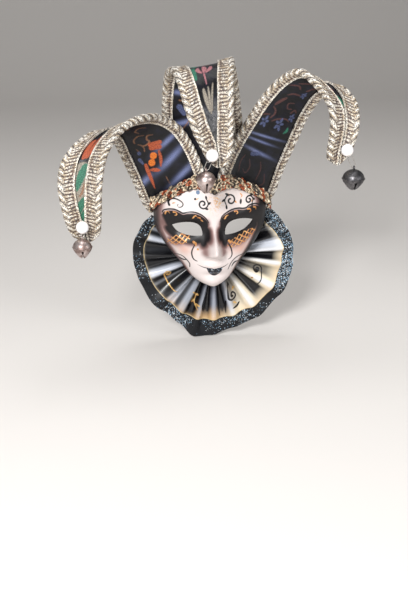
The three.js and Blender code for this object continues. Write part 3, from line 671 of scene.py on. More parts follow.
def face_paint(x, z):
    """Numbers painted on the face: stroke distances in millimetres, and soft amounts from 0 to 1 of airbrush
    paint and of painted shade along the edges and down the sides of the nose.
    """
    places = np.stack([x, z], -1)
    share = np.abs(x) / np.maximum(face_half_width(z), 1)
    dark = np.zeros(len(x))
    for side, rise in EYES:
        a = side * x
        around, _ = outline_distance(places, eye_outline(side, rise))
        line = BROW_LINES[side]
        below = through(line["a"], line["z"], a) - z
        brow = ease(0.2, 3.2, below) * ease(25, 14, around) * ease(66, 74, z) * ease(6, 9, a)
        brow = brow * ease(9, -7, a - 54 - 0.43 * (z - 74))
        socket = bell_curve(a - 33, 27) * bell_curve(z - 71, 17) * ease(19, 4, around)
        beside_nose = bell_curve(a - 13 + 0.05 * (z - 60), 6) * ease(43, 62, z) * ease(94, 82, z)
        under = ease(18, 3, around) * ease(88, 74, z)
        temple = (0.8 if side > 0 else 0.5) * ease(40, 56, a) * bell_curve(z - 83, 15)
        # Painted shade down both sides of the nose, brown rather than black
        nose_side_shade = 0.42 * bell_curve(a - 11.5, 5.5) * ease(39, 48, z) * ease(82, 64, z)
        dark = np.maximum.reduce([dark, brow, 1.15 * socket, beside_nose, under, temple, nose_side_shade])
    for middle, level, wide, tall, tilt in NETS:
        a, b = x - middle, z - level - tilt * (x - middle)
        dark = np.maximum(dark, NET_SHADE * bell_curve(a, 1.2 * wide) * bell_curve(b - 1.5, 1.5 * tall))
    # Dark edge round the face: airbrushed brown paint, deepened as painted shade where the face turns away at
    # its sides and towards the chin
    rim = np.where(x > 0, ease(0.66, 0.88, share), 0.66 * ease(0.8, 0.98, share)) * ease(116, 100, z)
    jaw_paint_and_shade = np.where(x > 0, ease(0.66, 0.94, share), 0.75 * ease(0.76, 0.99, share)) * ease(3, 18, z)
    blush = (bell_curve(x + 41, 13) + bell_curve(x - 34, 14)) * bell_curve(z - 51, 9) * ease(0.9, 0.6, share)
    lip_outline = spline(LIP + LIP[:1], np.linspace(0, len(LIP), LIP_STEPS, endpoint=False))
    lip_line, _ = outline_distance(places, lip_outline)
    return {
        "ink": painted(places, INK), "gilt": np.minimum(painted(places, GILT), net_distance(x, z)),
        "blue_dot": painted(places, BLUE), "lip": lip_line, "airbrush_and_shade": np.clip(dark, 0, 1),
        "edge": np.clip(np.maximum(rim, jaw_paint_and_shade), 0, 1), "blush": np.clip(blush, 0, 1),
        "speck": bell_curve(x - 2, 9) * bell_curve(z - 110, 11),
    }


def face_material():
    """Cream satin paint with airbrushed edges and sockets, which hold painted shade along the edges and down
    the sides of the nose, and ink, gilt, blue and lip strokes over it.
    """
    material, tree, shader = new_material("painted face", Coat_Roughness=0.25, Specular_IOR_Level=0.3)
    place = object_place(tree)
    grain = placed(tree, GRAIN, {"Place": place, "Blotch": 45.0, "Fine": 1400.0})
    colour = mixed(tree, grain["Blotch"], linear(222, 213, 211), linear(208, 195, 191))
    edge = math_node(tree, "MULTIPLY", painted_value(tree, "edge"),
                     math_node(tree, "MULTIPLY_ADD", grain["Blotch"], 0.4, 0.75))
    colour = mixed(tree, math_node(tree, "MULTIPLY", painted_value(tree, "blush"), 0.6), colour,
                   linear(208, 142, 114))
    # Airbrush paint and painted shade together: the darker of the two amounts turns the cream brown and then
    # black
    shade = math_node(tree, "MAXIMUM", edge, painted_value(tree, "airbrush_and_shade"))
    colour = mixed(tree, spread(tree, shade, 0.02, 0.5), colour, linear(142, 110, 106))
    colour = mixed(tree, spread(tree, shade, 0.28, 0.8), colour, linear(16, 12, 15))
    flakes = placed(tree, GLITTER, {"Place": place, "Scale": 620.0, "Amount": 0.42,
                                    "Cold": linear(216, 164, 92), "Warm": linear(196, 134, 66)})
    speck = math_node(tree, "MULTIPLY", flakes["Shine"], painted_value(tree, "speck"))
    speck = math_node(tree, "MULTIPLY", speck, 0.9)
    colour = mixed(tree, speck, colour, flakes["Tint"])
    broken = math_node(tree, "MULTIPLY_ADD", grain["Fine"], 0.9, -0.45)
    gilt = math_node(tree, "ADD", painted_value(tree, "gilt"), broken)
    gold = mixed(tree, flakes["Height"], linear(222, 170, 110), linear(168, 100, 52))
    gilded = placed(tree, STROKE, {"Under": colour, "Paint": gold, "Distance": gilt, "Softness": 0.3})
    blue = placed(tree, STROKE, {"Under": gilded["Colour"], "Paint": linear(92, 116, 146),
                                 "Distance": painted_value(tree, "blue_dot"), "Softness": 0.5})
    inked = placed(tree, STROKE, {"Under": blue["Colour"], "Paint": linear(22, 22, 26),
                                  "Distance": painted_value(tree, "ink"), "Softness": 0.28})
    sparks = placed(tree, GLITTER, {"Place": place, "Scale": 1100.0, "Amount": 0.12,
                                    "Cold": linear(150, 176, 200), "Warm": linear(90, 100, 120)})
    lacquer = mixed(tree, sparks["Shine"], linear(14, 16, 22), sparks["Tint"])
    lip = placed(tree, STROKE, {"Under": inked["Colour"], "Paint": lacquer,
                                "Distance": painted_value(tree, "lip"), "Softness": 0.3})
    rough = math_node(tree, "MULTIPLY_ADD", gilded["Mask"], -0.12, 0.45)
    feed(tree, shader, Base_Color=lip["Colour"], Roughness=rough,
         Metallic=math_node(tree, "MULTIPLY", gilded["Mask"], 0.35),
         Coat_Weight=math_node(tree, "MULTIPLY_ADD", lip["Mask"], 0.1, 0.12),
         Normal=bumped(tree, grain["Fine"], 0.12, 0.0002))
    return material


def paper_material():
    """Bare layered paper: pale, blotched and rough."""
    material, tree, shader = new_material("bare paper", Specular_IOR_Level=0.2)
    grain = placed(tree, GRAIN, {"Place": object_place(tree), "Blotch": 70.0, "Fine": 600.0})
    blotch = spread(tree, grain["Blotch"], 0.35, 0.65)
    colour = mixed(tree, blotch, linear(214, 203, 188), linear(188, 176, 160))
    feed(tree, shader, Base_Color=colour, Roughness=spread(tree, grain["Fine"], 0.3, 0.7, 0.75, 0.95),
         Normal=bumped(tree, grain["Fine"], 0.5, 0.0006))
    return material


def make_face():
    """Front of the face on a grid of angles and heights.

    Quads inside the eye holes go, and the points left inside are drawn to the holes' outlines."""
    rows, across = 205, 197
    share = np.linspace(-1, 1, across)
    angle = 90 * np.sign(share) * np.abs(share) ** 1.2
    t = np.linspace(0, 1, rows)[:, None] ** 1.4
    z = forehead_edge(angle)[None] * t
    x = (face_half_width(z) * np.sin(np.radians(angle))[None]).reshape(-1)
    z = z.reshape(-1)
    quads = grid_quads(rows, across)
    for side, rise in EYES:
        near = np.flatnonzero((side * x > EYE_ACROSS[0]) & (side * x < EYE_ACROSS[1])
                              & (z > EYE_LEVELS[0]) & (z < EYE_LEVELS[1]))
        gap, nearest = outline_distance(np.stack([x[near], z[near]], -1), eye_outline(side, rise))
        inside = np.zeros(len(x), bool)
        inside[near] = gap < 0
        quads = quads[inside[quads].sum(1) < 4]
        kept = np.isin(near, quads) & (gap < 0)
        x[near[kept]], z[near[kept]] = nearest[kept].T
    points, first, quads = welded(face_points(x, z), quads)
    quads = facing(points, quads, FRONT)
    paint = {label: np.tile(numbers[first], 2) for label, numbers in face_paint(x, z).items()}
    points, quads, part = walled(points, quads, FACE_WALL)
    make_piece("painted_face", points, quads, "mask", ["face"],
               [face_material(), paper_material()], (part == 1).astype(int), paint)


make_face()


# Collar

COLLAR_WALL = 1.8
COLLAR_CENTRE = np.array([6.0, 32.0])
COLLAR_MID_Y = -8.0
COLLAR_OUTLINE = columns(["angle", "inner", "outer"], [
    [-214, 78, 94], [-203, 62, 98], [-190, 47, 102], [-178, 38, 102], [-156, 32, 100], [-141, 29, 102],
    [-127, 27, 100], [-113, 25, 106], [-103, 24, 116], [-89, 23, 112], [-74, 22, 107], [-57, 21, 108],
    [-39, 21, 106], [-27, 22, 108], [-5, 26, 104], [9, 34, 102], [20, 43, 97], [32, 60, 93], [41, 74, 88]])
PLEAT_CRESTS = np.array([
    -228, -212, -197, -180, -163, -136, -118, -104, -90, -73, -55, -32, -11, 2, 15, 28, 40, 52], float)
PLEAT_DEPTHS = columns(["share", "height"], [[0, 4.8], [0.4, 4.8], [0.75, 3.6], [1, 1.8]])
# By angle: how black the valleys are, black paint with painted shade in it, and how bright the painted
# highlight on the crests is
VALLEY_DARKNESS = columns(["angle", "amount"], [
    [-111, 1.05], [-97, 0.95], [-82, 1.05], [-64, 0.3], [-44, 1.1], [-22, 0.6], [-5, 0.95], [9, 0.95],
    [34, 0.9]])
PAINTED_CREST_HIGHLIGHT = columns(["angle", "amount"], [
    [-118, 0.25], [-104, 0.55], [-90, 0.35], [-73, 0.6], [-55, 0.85], [-32, 1], [-11, 1], [2, 0.8], [15, 1],
    [41, 1]])
# Bands of painted highlight across the pleats on the dark left and upper right, standing for lit pleat flanks
# and gloss on the lacquer, with black paint and painted shade between them; a row for each
PAINTED_LIGHT_BANDS = columns(["angle", "half_width", "amount"], [
    [-204, 3, 0.4], [-196, 3, 0.8], [-185, 5, 0.2], [-163, 4, 0.85], [-152, 3, 0.35], [-132, 4.5, 1],
    [-120, 4, 0.55], [-101, 3, 0.7], [-13, 3, 1], [4, 4.5, 0.95], [11, 4, 0.4], [24, 3, 0.35]])
# Radius where the glitter rim starts, by angle
RIM_BORDER = columns(["angle", "radius"], [
    [-214, 82], [-186, 89], [-165, 86.5], [-149, 87], [-133, 85.5], [-118, 89], [-102, 91.5], [-84, 91],
    [-67, 90], [-47, 92.5], [-30, 92], [-12, 89], [3, 90], [14, 84], [29, 76], [41, 74.5]])

# Strokes on the collar, as on the face
COLLAR_INK = [
    ([(-15.2, -12.4), (-18, -22), (-24.6, -31.5), (-27.6, -38), (-24.6, -44), (-20, -44.6)], 1.6, 2.4, 0.6),
    ([(-6, -26), (-9, -38), (-8, -47)], 1.0, 2.2, 0.8),
    ([(1, -36), (-1.4, -48)], 1.2, 2.6, 0.4),
    ([(11.8, -40), (14.7, -55.6)], 2.4, 0.9, 0.2),
    ([(18.6, -33.9), (18.2, -50)], 2.4, 1.0, 0.4),
    ([(22.6, -34.1), (23.2, -52)], 2.2, 0.9, 0.4),
    ([(24.7, -10.5), (23.4, -18), *coil((31, -27.6), 6.6, 170, 1.3)], 1.6, 2.5, 0.4),
    ([(41, -37.4), (37, -42.6), (31, -44)], 1.2, 1.2, 1.8),
    ([(59.5, -20.1), (66, -9.4), *coil((62.8, 6.6), 6.6, -20, 1.3)], 1.5, 2.5, 0.4),
    ([(62.4, 6.2)], 4.0, 4.0, 0.0),
    ([(24.2, -13)], 4.0, 4.0, 0.0),
]
COLLAR_GILT = [
    ([(-40.6, -17.4), (-46, -14.4), (-52.4, -6.6), *coil((-52.8, 7.4), 5.0, 200, -1.15)], 1.0, 2.8, 0.4),
    ([(-20.6, -18.4), (-17, -26), (-18.6, -34), (-14.6, -44)], 1.4, 1.0, 0.4),
    ([(-18.2, -24), (-12.6, -25.6)], 0.8, 0.6, 2.6),
    ([(-18.2, -31), (-23, -34)], 0.8, 0.6, 2.4),
    ([(-17, -37.6), (-11.8, -38.4)], 0.8, 0.6, 2.2),
    ([(33, -16), (31.2, -20.6)], 3.0, 1.4, 0.0),
    ([(32.6, -37), (36, -39)], 2.6, 1.4, 0.0),
    ([(56, -2.4)], 2.8, 2.8, 0.0),
]


def pleat_wave(angle):
    """1 on each crest and -1 midway between: a cosine with a little of its octave, so crests are crisper."""
    k = np.clip(np.searchsorted(PLEAT_CRESTS, angle) - 1, 0, len(PLEAT_CRESTS) - 2)
    share = (angle - PLEAT_CRESTS[k]) / (PLEAT_CRESTS[k + 1] - PLEAT_CRESTS[k])
    return np.cos(2 * np.pi * share) + 0.16 * (np.cos(4 * np.pi * share) - 1)


def collar_points(angle, share):
    """Ring between the inner and outer edge, standing forward by the pleat's depth times its wave."""
    inner = through(COLLAR_OUTLINE["angle"], COLLAR_OUTLINE["inner"], angle)
    outer = through(COLLAR_OUTLINE["angle"], COLLAR_OUTLINE["outer"], angle)
    radius = inner + (outer - inner) * share
    height = through(PLEAT_DEPTHS["share"], PLEAT_DEPTHS["height"], share)
    turn = np.radians(angle)
    return np.stack([COLLAR_CENTRE[0] + radius * np.cos(turn), COLLAR_MID_Y - height * pleat_wave(angle),
                     COLLAR_CENTRE[1] + radius * np.sin(turn)], -1)


def collar_paint(points, angle):
    """Numbers painted on the collar: distance from the rim's border, amounts of black, cream and beige paint,
    of painted highlight and of painted shade, and stroke distances.
    """
    places = points[:, [0, 2]]
    radius = np.linalg.norm(places - COLLAR_CENTRE, axis=1)
    inner = through(COLLAR_OUTLINE["angle"], COLLAR_OUTLINE["inner"], angle)
    border = through(RIM_BORDER["angle"], RIM_BORDER["radius"], angle)
    out = (radius - inner) / (border - inner)
    wave = pleat_wave(angle)
    right = ease(-78, -58, angle) * ease(12, -6, angle)
    left = ease(-98, -112, angle)
    darkness = through(VALLEY_DARKNESS["angle"], VALLEY_DARKNESS["amount"], angle)
    valley = np.clip(1.15 * ease(0.62 - 0.2 * right, -0.85, wave) * darkness, 0, 1)
    # Painted highlight on the crests, fading towards the face
    light = through(PAINTED_CREST_HIGHLIGHT["angle"], PAINTED_CREST_HIGHLIGHT["amount"], angle)
    light = light * ease(0.35, 1.0, wave) * ease(0.12, 0.7, out)
    # Painted highlight bands, with black paint and painted shade between them, take over on the dark left and
    # upper right
    bands = bell_curve(angle[:, None] - PAINTED_LIGHT_BANDS["angle"], PAINTED_LIGHT_BANDS["half_width"])
    painted_light = ease(0.12, 0.85, bands @ PAINTED_LIGHT_BANDS["amount"])
    painted_light_streak = 0.95 + 0.15 * np.sin(2 * np.pi * angle / 3.7)
    broad = left + ease(-12, -9, angle)
    valley = valley * (1 - broad) + broad * (1 - painted_light)
    light = light * (1 - broad) + broad * painted_light * painted_light_streak * ease(0.0, 0.45, out)
    # Towards the face the valleys darken and the whole pleat goes dark: painted shade under the chin
    inside = ease(1.05 + 0.1 * left, 0.7 + 0.15 * left, out)
    painted_chin_shade = ease(0.36, 0.0, out)
    return {
        "border": border - radius, "crest": light * ease(1.05, 0.9, out),
        "dark": np.clip(valley * (0.12 + 1.1 * inside) + 0.85 * painted_chin_shade, 0, 1),
        "cream": np.clip(right * ease(0.1, 0.6, out) + (0.75 - 0.35 * left) * ease(0.74, 1.0, out), 0, 1),
        "beige": np.clip(ease(0.66, 0.95, out) * ease(-152, -132, angle) * ease(-68, -90, angle)
                         + 0.45 * right * ease(0.8, 1, out), 0, 1),
        "patchy": (0.5 + 0.5 * np.cos(np.radians(angle * 5 + 40)) * np.cos(np.radians(angle * 2 + 70))
                   + 0.7 * bell_curve(angle + 12, 28)),
        "plain": bell_curve(angle + 104, 11), "ink": painted(places, COLLAR_INK),
        "gilt": painted(places, COLLAR_GILT),
    }


def collar_material():
    """Lacquered pleats: silver and cream with black valleys that are partly painted shade, painted highlights
    on the crests, strokes, and a glitter rim.
    """
    material, tree, shader = new_material("lacquered collar", Coat_Roughness=0.36, Specular_IOR_Level=0.35)
    place = object_place(tree)
    grain = placed(tree, GRAIN, {"Place": place, "Blotch": 55.0, "Fine": 900.0})
    silver = mixed(tree, grain["Blotch"], linear(84, 89, 102), linear(122, 125, 136))
    colour = mixed(tree, painted_value(tree, "cream"), silver, linear(240, 228, 204))
    beige = math_node(tree, "MULTIPLY", painted_value(tree, "beige"), 0.75)
    colour = mixed(tree, beige, colour, linear(206, 160, 96))
    # Black paint in the valleys, and painted shade in them and next to the face
    colour = mixed(tree, painted_value(tree, "dark"), colour, linear(10, 10, 14))
    # Painted highlight on the crests and in the light bands
    crest = math_node(tree, "MULTIPLY", painted_value(tree, "crest"), 0.72)
    colour = mixed(tree, crest, colour, linear(222, 228, 240))
    flakes = placed(tree, GLITTER, {"Place": place, "Scale": 700.0, "Amount": 0.5,
                                    "Cold": linear(236, 206, 140), "Warm": linear(190, 136, 60)})
    gold = mixed(tree, flakes["Height"], linear(240, 206, 140), linear(190, 132, 60))
    gilded = placed(tree, STROKE, {"Under": colour, "Paint": gold, "Distance": painted_value(tree, "gilt"),
                                   "Softness": 0.35})
    inked = placed(tree, STROKE, {"Under": gilded["Colour"], "Paint": linear(14, 14, 18),
                                  "Distance": painted_value(tree, "ink"), "Softness": 0.35})
    border = painted_value(tree, "border")
    line = math_node(tree, "SUBTRACT", math_node(tree, "ABSOLUTE", border), 0.9)
    lined = placed(tree, STROKE, {"Under": inked["Colour"], "Paint": linear(212, 188, 138), "Distance": line,
                                  "Softness": 0.6, "Cover": 0.7})
    patchy = math_node(tree, "MULTIPLY_ADD", painted_value(tree, "patchy"), 0.3,
                       math_node(tree, "MULTIPLY_ADD", grain["Blotch"], 0.5, -0.3))
    amount = math_node(tree, "MULTIPLY_ADD", painted_value(tree, "plain"), -0.14, patchy)
    sparks = placed(tree, GLITTER, {"Place": place, "Scale": 1150.0, "Amount": amount,
                                    "Cold": linear(170, 208, 236), "Warm": linear(236, 244, 250)})
    dust = mixed(tree, grain["Blotch"], linear(3, 4, 7), linear(14, 18, 26))
    glitter = mixed(tree, sparks["Shine"], dust, sparks["Tint"])
    rim = placed(tree, STROKE, {"Under": lined["Colour"], "Paint": glitter, "Distance": border,
                                "Softness": 0.4})
    rough = math_node(tree, "MULTIPLY_ADD", rim["Mask"], 0.22, 0.24)
    height = math_node(tree, "MULTIPLY", sparks["Height"], rim["Mask"])
    feed(tree, shader, Base_Color=rim["Colour"], Roughness=rough,
         Metallic=math_node(tree, "MULTIPLY", gilded["Mask"], 0.3),
         Coat_Weight=math_node(tree, "MULTIPLY_ADD", rim["Mask"], -0.25, 0.3),
         Normal=bumped(tree, height, 0.5, 0.0005))
    return material


def collar_back_material():
    """Back of the collar: dark grey card with a little grain."""
    material, tree, shader = new_material("collar back", Specular_IOR_Level=0.3)
    grain = placed(tree, GRAIN, {"Place": object_place(tree), "Blotch": 60.0, "Fine": 700.0})
    colour = mixed(tree, spread(tree, grain["Blotch"], 0.35, 0.65), linear(40, 38, 40), linear(64, 60, 58))
    feed(tree, shader, Base_Color=colour, Roughness=spread(tree, grain["Fine"], 0.3, 0.7, 0.55, 0.8),
         Normal=bumped(tree, grain["Fine"], 0.3, 0.0004))
    return material


def make_collar():
    """Middle layer of the collar on a grid of angles and shares, moved half a wall forward and walled."""
    around, rings = 481, 81
    angle = np.repeat(np.linspace(COLLAR_OUTLINE["angle"][0], COLLAR_OUTLINE["angle"][-1], around), rings)
    share = np.tile(np.linspace(0, 1, rings), around)
    middle = collar_points(angle, share)
    quads = facing(middle, grid_quads(around, rings), FRONT)
    normals = point_normals(middle, quads)
    paint = {label: np.tile(numbers, 2) for label, numbers in collar_paint(middle, angle).items()}
    points, quads, part = walled(middle + normals * COLLAR_WALL / 2, quads, COLLAR_WALL, normals)
    make_piece("pleated_collar", points, quads, "mask", ["collar"],
               [collar_material(), collar_back_material()], (part == 1).astype(int), paint)


make_collar()


# Horns

HORN_WALL = 2.4
BRAID_WALL = 1.6
BRAID_GAP = 0.8
BRAID_LEG = 16.0
BRAID_FRONT_SHARE = 0.62
BRAID_MEETING_GAP = 1.2
HORN_FACING = {"left": 1, "middle": -1, "right": -1}
# Rows from a horn's foot to its tip: inner edge (x, y, z), outer edge (x, y, z) and the bow between them
HORN_SECTIONS = {
    "left": np.array([
        [-7, -37, 122, -70, -4.4, 89, 5], [-11, -33, 140, -79, -8, 99, 5], [-24, -28, 172, -92, -14, 130, 4],
        [-42, -32, 198, -106, -22, 163, 3], [-66, -44, 211, -117, -36, 186, 2],
        [-92, -66, 211, -136, -60, 196, 2], [-113, -84, 200, -156, -80, 190, 2],
        [-129, -101, 178, -173, -99, 175, 2], [-136, -112, 147, -179, -109, 150, 2],
        [-138, -116, 118, -175, -115, 119, 2], [-140, -112, 97, -169, -112, 98, 1],
        [-145, -106, 85, -160, -106, 86, 0]], float),
    "middle": np.array([
        [-44, -19.6, 112, 42, -19.6, 114, 7], [-47, -17.4, 128, 43, -17.4, 130, 7],
        [-52, -14, 165, 40, -14, 168, 6], [-55, -18, 210, 34, -18, 214, 4], [-54, -30, 246, 27, -30, 253, 3],
        [-52, -46, 261, 20, -46, 271, 2], [-47, -68, 263, 17, -68, 273, 2], [-43, -88, 250, 13, -88, 262, 2],
        [-37, -101, 226, 11, -100, 240, 2], [-29, -107, 202, 10, -107, 212, 2],
        [-21, -109, 186, 9, -109, 184, 1], [-11, -106, 165, 3, -106, 164, 0]], float),
    "right": np.array([
        [7, -37, 122, 70, -6.4, 94, 5], [11, -33, 140, 79, -8, 106, 5], [24, -28, 168, 90, -14, 140, 4],
        [42, -27, 198, 103, -20, 174, 3], [62, -27, 228, 115, -23, 203, 3], [82, -33, 250, 129, -35, 228, 2],
        [99, -46, 259, 145, -54, 240, 2], [114, -66, 247, 156, -71, 231, 2],
        [126, -82, 228, 159, -83, 218, 2], [129, -92, 205, 157, -92, 200, 2],
        [125, -97, 172, 150, -96, 177, 1], [130, -97, 159, 141, -97, 162, 0]], float),
}
LAST_ROW = 11.0
LENGTH_STEPS = 900
# Usual length between rows and width of a panel, for the sizes of figures and folds
ROW_LENGTH = 27.0
PANEL_WIDTH = 66.0
TIP_ROUNDING = 9.0


def horn_points(horn, row, across):
    """Chord between the two edge curves at a row, pushed to the front by the bow times 4 a (1 - a)."""
    table = HORN_SECTIONS[horn]
    row = np.clip(row, 0, LAST_ROW)
    start, end = spline(table[:, :3], row), spline(table[:, 3:6], row)
    rise = spline_slope(table[:, :3], row) + spline_slope(table[:, 3:6], row)
    front = unit(np.cross(rise, end - start)) * HORN_FACING[horn]
    bow = spline(table[:, 6:7], row)[..., 0] * 4 * across * (1 - across)
    return start + (end - start) * across[..., None] + front * bow[..., None]


def horn_normals(horn, row, across):
    """Normal to the front: the cross product of small steps along and across."""
    step = 0.01
    row = np.clip(row, 2 * step, LAST_ROW - 2 * step)
    along = horn_points(horn, row + step, across) - horn_points(horn, row - step, across)
    over = horn_points(horn, row, across + step) - horn_points(horn, row, across - step)
    return unit(np.cross(along, over)) * HORN_FACING[horn]


def horn_width(horn, row):
    """Length of the chord at each row."""
    table = HORN_SECTIONS[horn]
    return np.linalg.norm(spline(table[:, 3:6], row) - spline(table[:, :3], row), axis=-1)


def even_rows(horn, across, count):
    """Rows spaced evenly by length along a line at a share across, and the length at each."""
    fine = np.linspace(0, LAST_ROW, LENGTH_STEPS)
    line = horn_points(horn, fine, np.full(LENGTH_STEPS, float(across)))
    length = np.concatenate([[0], np.cumsum(np.linalg.norm(np.diff(line, axis=0), axis=1))])
    at = np.linspace(0, length[-1], count)
    return np.interp(at, length, fine), at


# Petals of a bloom: their angles and lengths
PETALS = columns(["angle", "length"], [[8, 1.0], [76, 0.8], [150, 1.05], [214, 0.9], [292, 0.75]])


def bloom(row, across, size):
    """A slate flower on a horn's front: five woven petals of unequal length that open from its middle."""
    petals = []
    for turn, far in zip(np.radians(PETALS["angle"]), PETALS["length"]):
        reach = size * np.array([0.25, far])
        points = np.stack([row + reach * np.cos(turn) / ROW_LENGTH,
                           across + reach * np.sin(turn) / PANEL_WIDTH], -1)
        petals.append(("front", "slate", points.tolist(), 0.2 * size, 0.3 * size, 0.3 * size))
    return petals


# Woven figures, as strokes: side, colour, points (row along, share across), start width, end width and swell
FIGURES = {
    "left": [
        ("front", "copper", [(2.90, 0.52), (2.79, 0.37)], 5.4, 5.4, 0.0),
        ("front", "copper", [(2.75, 0.53), (2.64, 0.41)], 6.0, 5.4, 0.0),
        ("front", "orange", [(2.46, 0.56)], 8.6, 8.6, 0.0),
        ("front", "orange", [(2.27, 0.63)], 8.6, 8.6, 0.0),
        ("front", "copper", [(2.52, 0.45), (2.25, 0.48), (2.0, 0.53)], 2.4, 1.6, 2.2),
        ("front", "copper", [(2.08, 0.70), (1.99, 0.63), (1.88, 0.56)], 1.2, 1.2, 3.4),
        ("front", "copper", [(2.30, 0.73), (2.06, 0.74), (1.74, 0.74), (1.42, 0.745)], 4.0, 1.2, 2.0),
        ("front", "thread",
         [(3.24, 0.38), (3.32, 0.46), (3.18, 0.51), (3.02, 0.5), (2.96, 0.6), (3.14, 0.68)], 1.0, 1.4, 1.0),
        ("front", "thread", [(3.42, 0.5), (3.52, 0.6), (3.42, 0.7), (3.26, 0.72)], 1.0, 1.6, 0.6),
        ("front", "thread", [(3.0, 0.75), (2.83, 0.73)], 0.8, 1.2, 0.4),
        ("front", "thread", [(3.04, 0.65), (2.89, 0.63), (2.75, 0.65)], 0.8, 1.2, 0.4),
        ("front", "thread", [(3.75, 0.35), (3.95, 0.44), (3.85, 0.56), (3.66, 0.54)], 0.9, 1.4, 0.6),
        ("front", "thread", [(4.2, 0.6), (4.4, 0.5), (4.62, 0.56), (4.56, 0.68)], 0.9, 1.4, 0.6),
        ("front", "thread", [(1.6, 0.52), (1.3, 0.5)], 0.9, 0.6, 0.4),
        ("front", "slate", [(2.78, 0.74)], 5.0, 5.0, 0.0),
        ("front", "slate", [(2.56, 0.78), (2.4, 0.76)], 4.6, 3.0, 0.0),
        ("back", "copper", [(5.8, 0.42), (6.4, 0.42), (6.9, 0.46)], 6.0, 5.0, 1.0),
        ("back", "copper", [(6.1, 0.58), (6.6, 0.56), (6.95, 0.54)], 5.0, 4.0, 1.0),
        ("back", "pale", [(7.35, 0.5), (8.2, 0.5), (9.4, 0.5)], 14.0, 9.0, 0.0),
        ("back", "teal", [(7.3, 0.43), (7.7, 0.5), (8.15, 0.58)], 7.0, 2.0, 4.0),
        ("back", "teal", [(8.42, 0.42), (8.85, 0.58)], 3.0, 7.0, 2.0),
        ("back", "teal", [(9.0, 0.45), (9.32, 0.52)], 6.0, 6.0, 1.0),
        ("back", "thread", [(7.9, 0.4), (8.2, 0.44), (8.36, 0.52)], 1.4, 1.4, 1.0),
    ],
    "middle": [
        ("back", "teal", [(6.02, 0.31), (6.5, 0.3), (6.8, 0.31)], 5.0, 3.0, 1.4),
        ("back", "rose", [(6.45, 0.44), (6.2, 0.38), (5.9, 0.4)], 1.6, 1.4, 3.6),
        ("back", "rose", [(6.45, 0.48), (6.1, 0.5), (5.75, 0.5)], 1.6, 1.4, 4.0),
        ("back", "rose", [(6.45, 0.52), (6.2, 0.6), (5.95, 0.62)], 1.6, 1.4, 3.6),
        ("back", "rose", [(6.55, 0.48), (7.15, 0.5)], 2.2, 1.4, 0.0),
        ("back", "pale", [(7.35, 0.42), (7.75, 0.44), (8.3, 0.48)], 2.4, 1.6, 2.4),
        ("back", "pale", [(7.3, 0.52), (7.8, 0.52), (8.4, 0.51)], 1.4, 1.2, 1.2),
        ("back", "pale", [(7.2, 0.62), (7.7, 0.58), (8.3, 0.54)], 1.6, 1.2, 0.6),
        ("back", "teal", [(5.3, 0.3), (5.7, 0.36)], 3.0, 5.0, 2.0),
        ("back", "thread", [(5.2, 0.62), (5.5, 0.52), (5.7, 0.62)], 1.2, 1.6, 0.6),
        ("front", "slate", [(3.2, 0.2), (3.0, 0.26)], 7.0, 6.0, 0.0),
        ("front", "slate", [(4.1, 0.24), (3.9, 0.2)], 6.0, 5.0, 0.0),
        ("front", "thread", [(2.5, 0.2), (2.9, 0.34), (3.3, 0.3), (3.4, 0.2)], 1.0, 1.8, 0.6),
    ],
    "right": [
        *bloom(3.28, 0.27, 5.4), *bloom(3.36, 0.55, 6.2), *bloom(3.75, 0.72, 4.4), *bloom(4.75, 0.66, 4.2),
        ("front", "slate", [(2.12, 0.36), (2.2, 0.46)], 6.0, 4.0, 0.0),
        ("front", "umber", [(3.35, 0.14), (3.5, 0.2), (3.56, 0.3)], 1.4, 1.2, 0.6),
        ("front", "umber", [(3.86, 0.28), (3.76, 0.35), (3.62, 0.37), (3.46, 0.34)], 1.6, 1.8, 0.6),
        ("front", "umber", [(3.37, 0.39), (3.51, 0.48), (3.61, 0.62), (3.57, 0.7)], 1.4, 1.4, 0.6),
        ("front", "umber", [(3.89, 0.65), (4.06, 0.7), (4.0, 0.75)], 1.4, 1.4, 0.6),
        ("front", "umber", [(3.97, 0.28), (4.17, 0.33), (4.36, 0.39)], 2.4, 2.4, 1.4),
        ("front", "umber", [(4.5, 0.37), (4.64, 0.47), (4.68, 0.6)], 1.6, 1.6, 0.6),
        ("front", "umber", [(5.0, 0.64), (5.35, 0.72), (5.5, 0.8)], 2.0, 2.0, 0.8),
        ("front", "umber", [(5.2, 0.36), (5.45, 0.5), (5.6, 0.62)], 1.6, 1.6, 0.8),
        ("front", "umber", [(4.9, 0.24), (5.08, 0.4), (4.95, 0.5)], 1.6, 1.6, 0.8),
        ("front", "umber", [(4.3, 0.6), (4.2, 0.5), (4.02, 0.54), (4.05, 0.62)], 1.2, 1.4, 0.4),
        ("front", "teal", [(3.1, 0.71), (3.22, 0.75), (3.36, 0.745)], 0.8, 0.8, 2.6),
        ("front", "umber", [(2.0, 0.25), (1.7, 0.22), (1.35, 0.25)], 1.2, 1.2, 0.4),
        ("front", "umber", [(1.9, 0.35), (1.65, 0.4), (1.4, 0.36), (1.5, 0.3)], 1.2, 1.2, 0.4),
        ("front", "umber", [(1.95, 0.55), (1.7, 0.6), (1.3, 0.58)], 1.2, 1.2, 0.4),
        ("front", "umber", [(1.6, 0.7), (1.3, 0.74), (1.1, 0.66)], 1.2, 1.2, 0.4),
        ("back", "copper", [(6.5, 0.44), (6.9, 0.48)], 5.0, 3.0, 1.0),
        ("back", "teal", [(7.3, 0.5), (7.9, 0.52)], 3.0, 3.0, 3.0),
        ("back", "pale", [(8.1, 0.5), (8.8, 0.5)], 3.0, 2.0, 1.0),
    ],
}
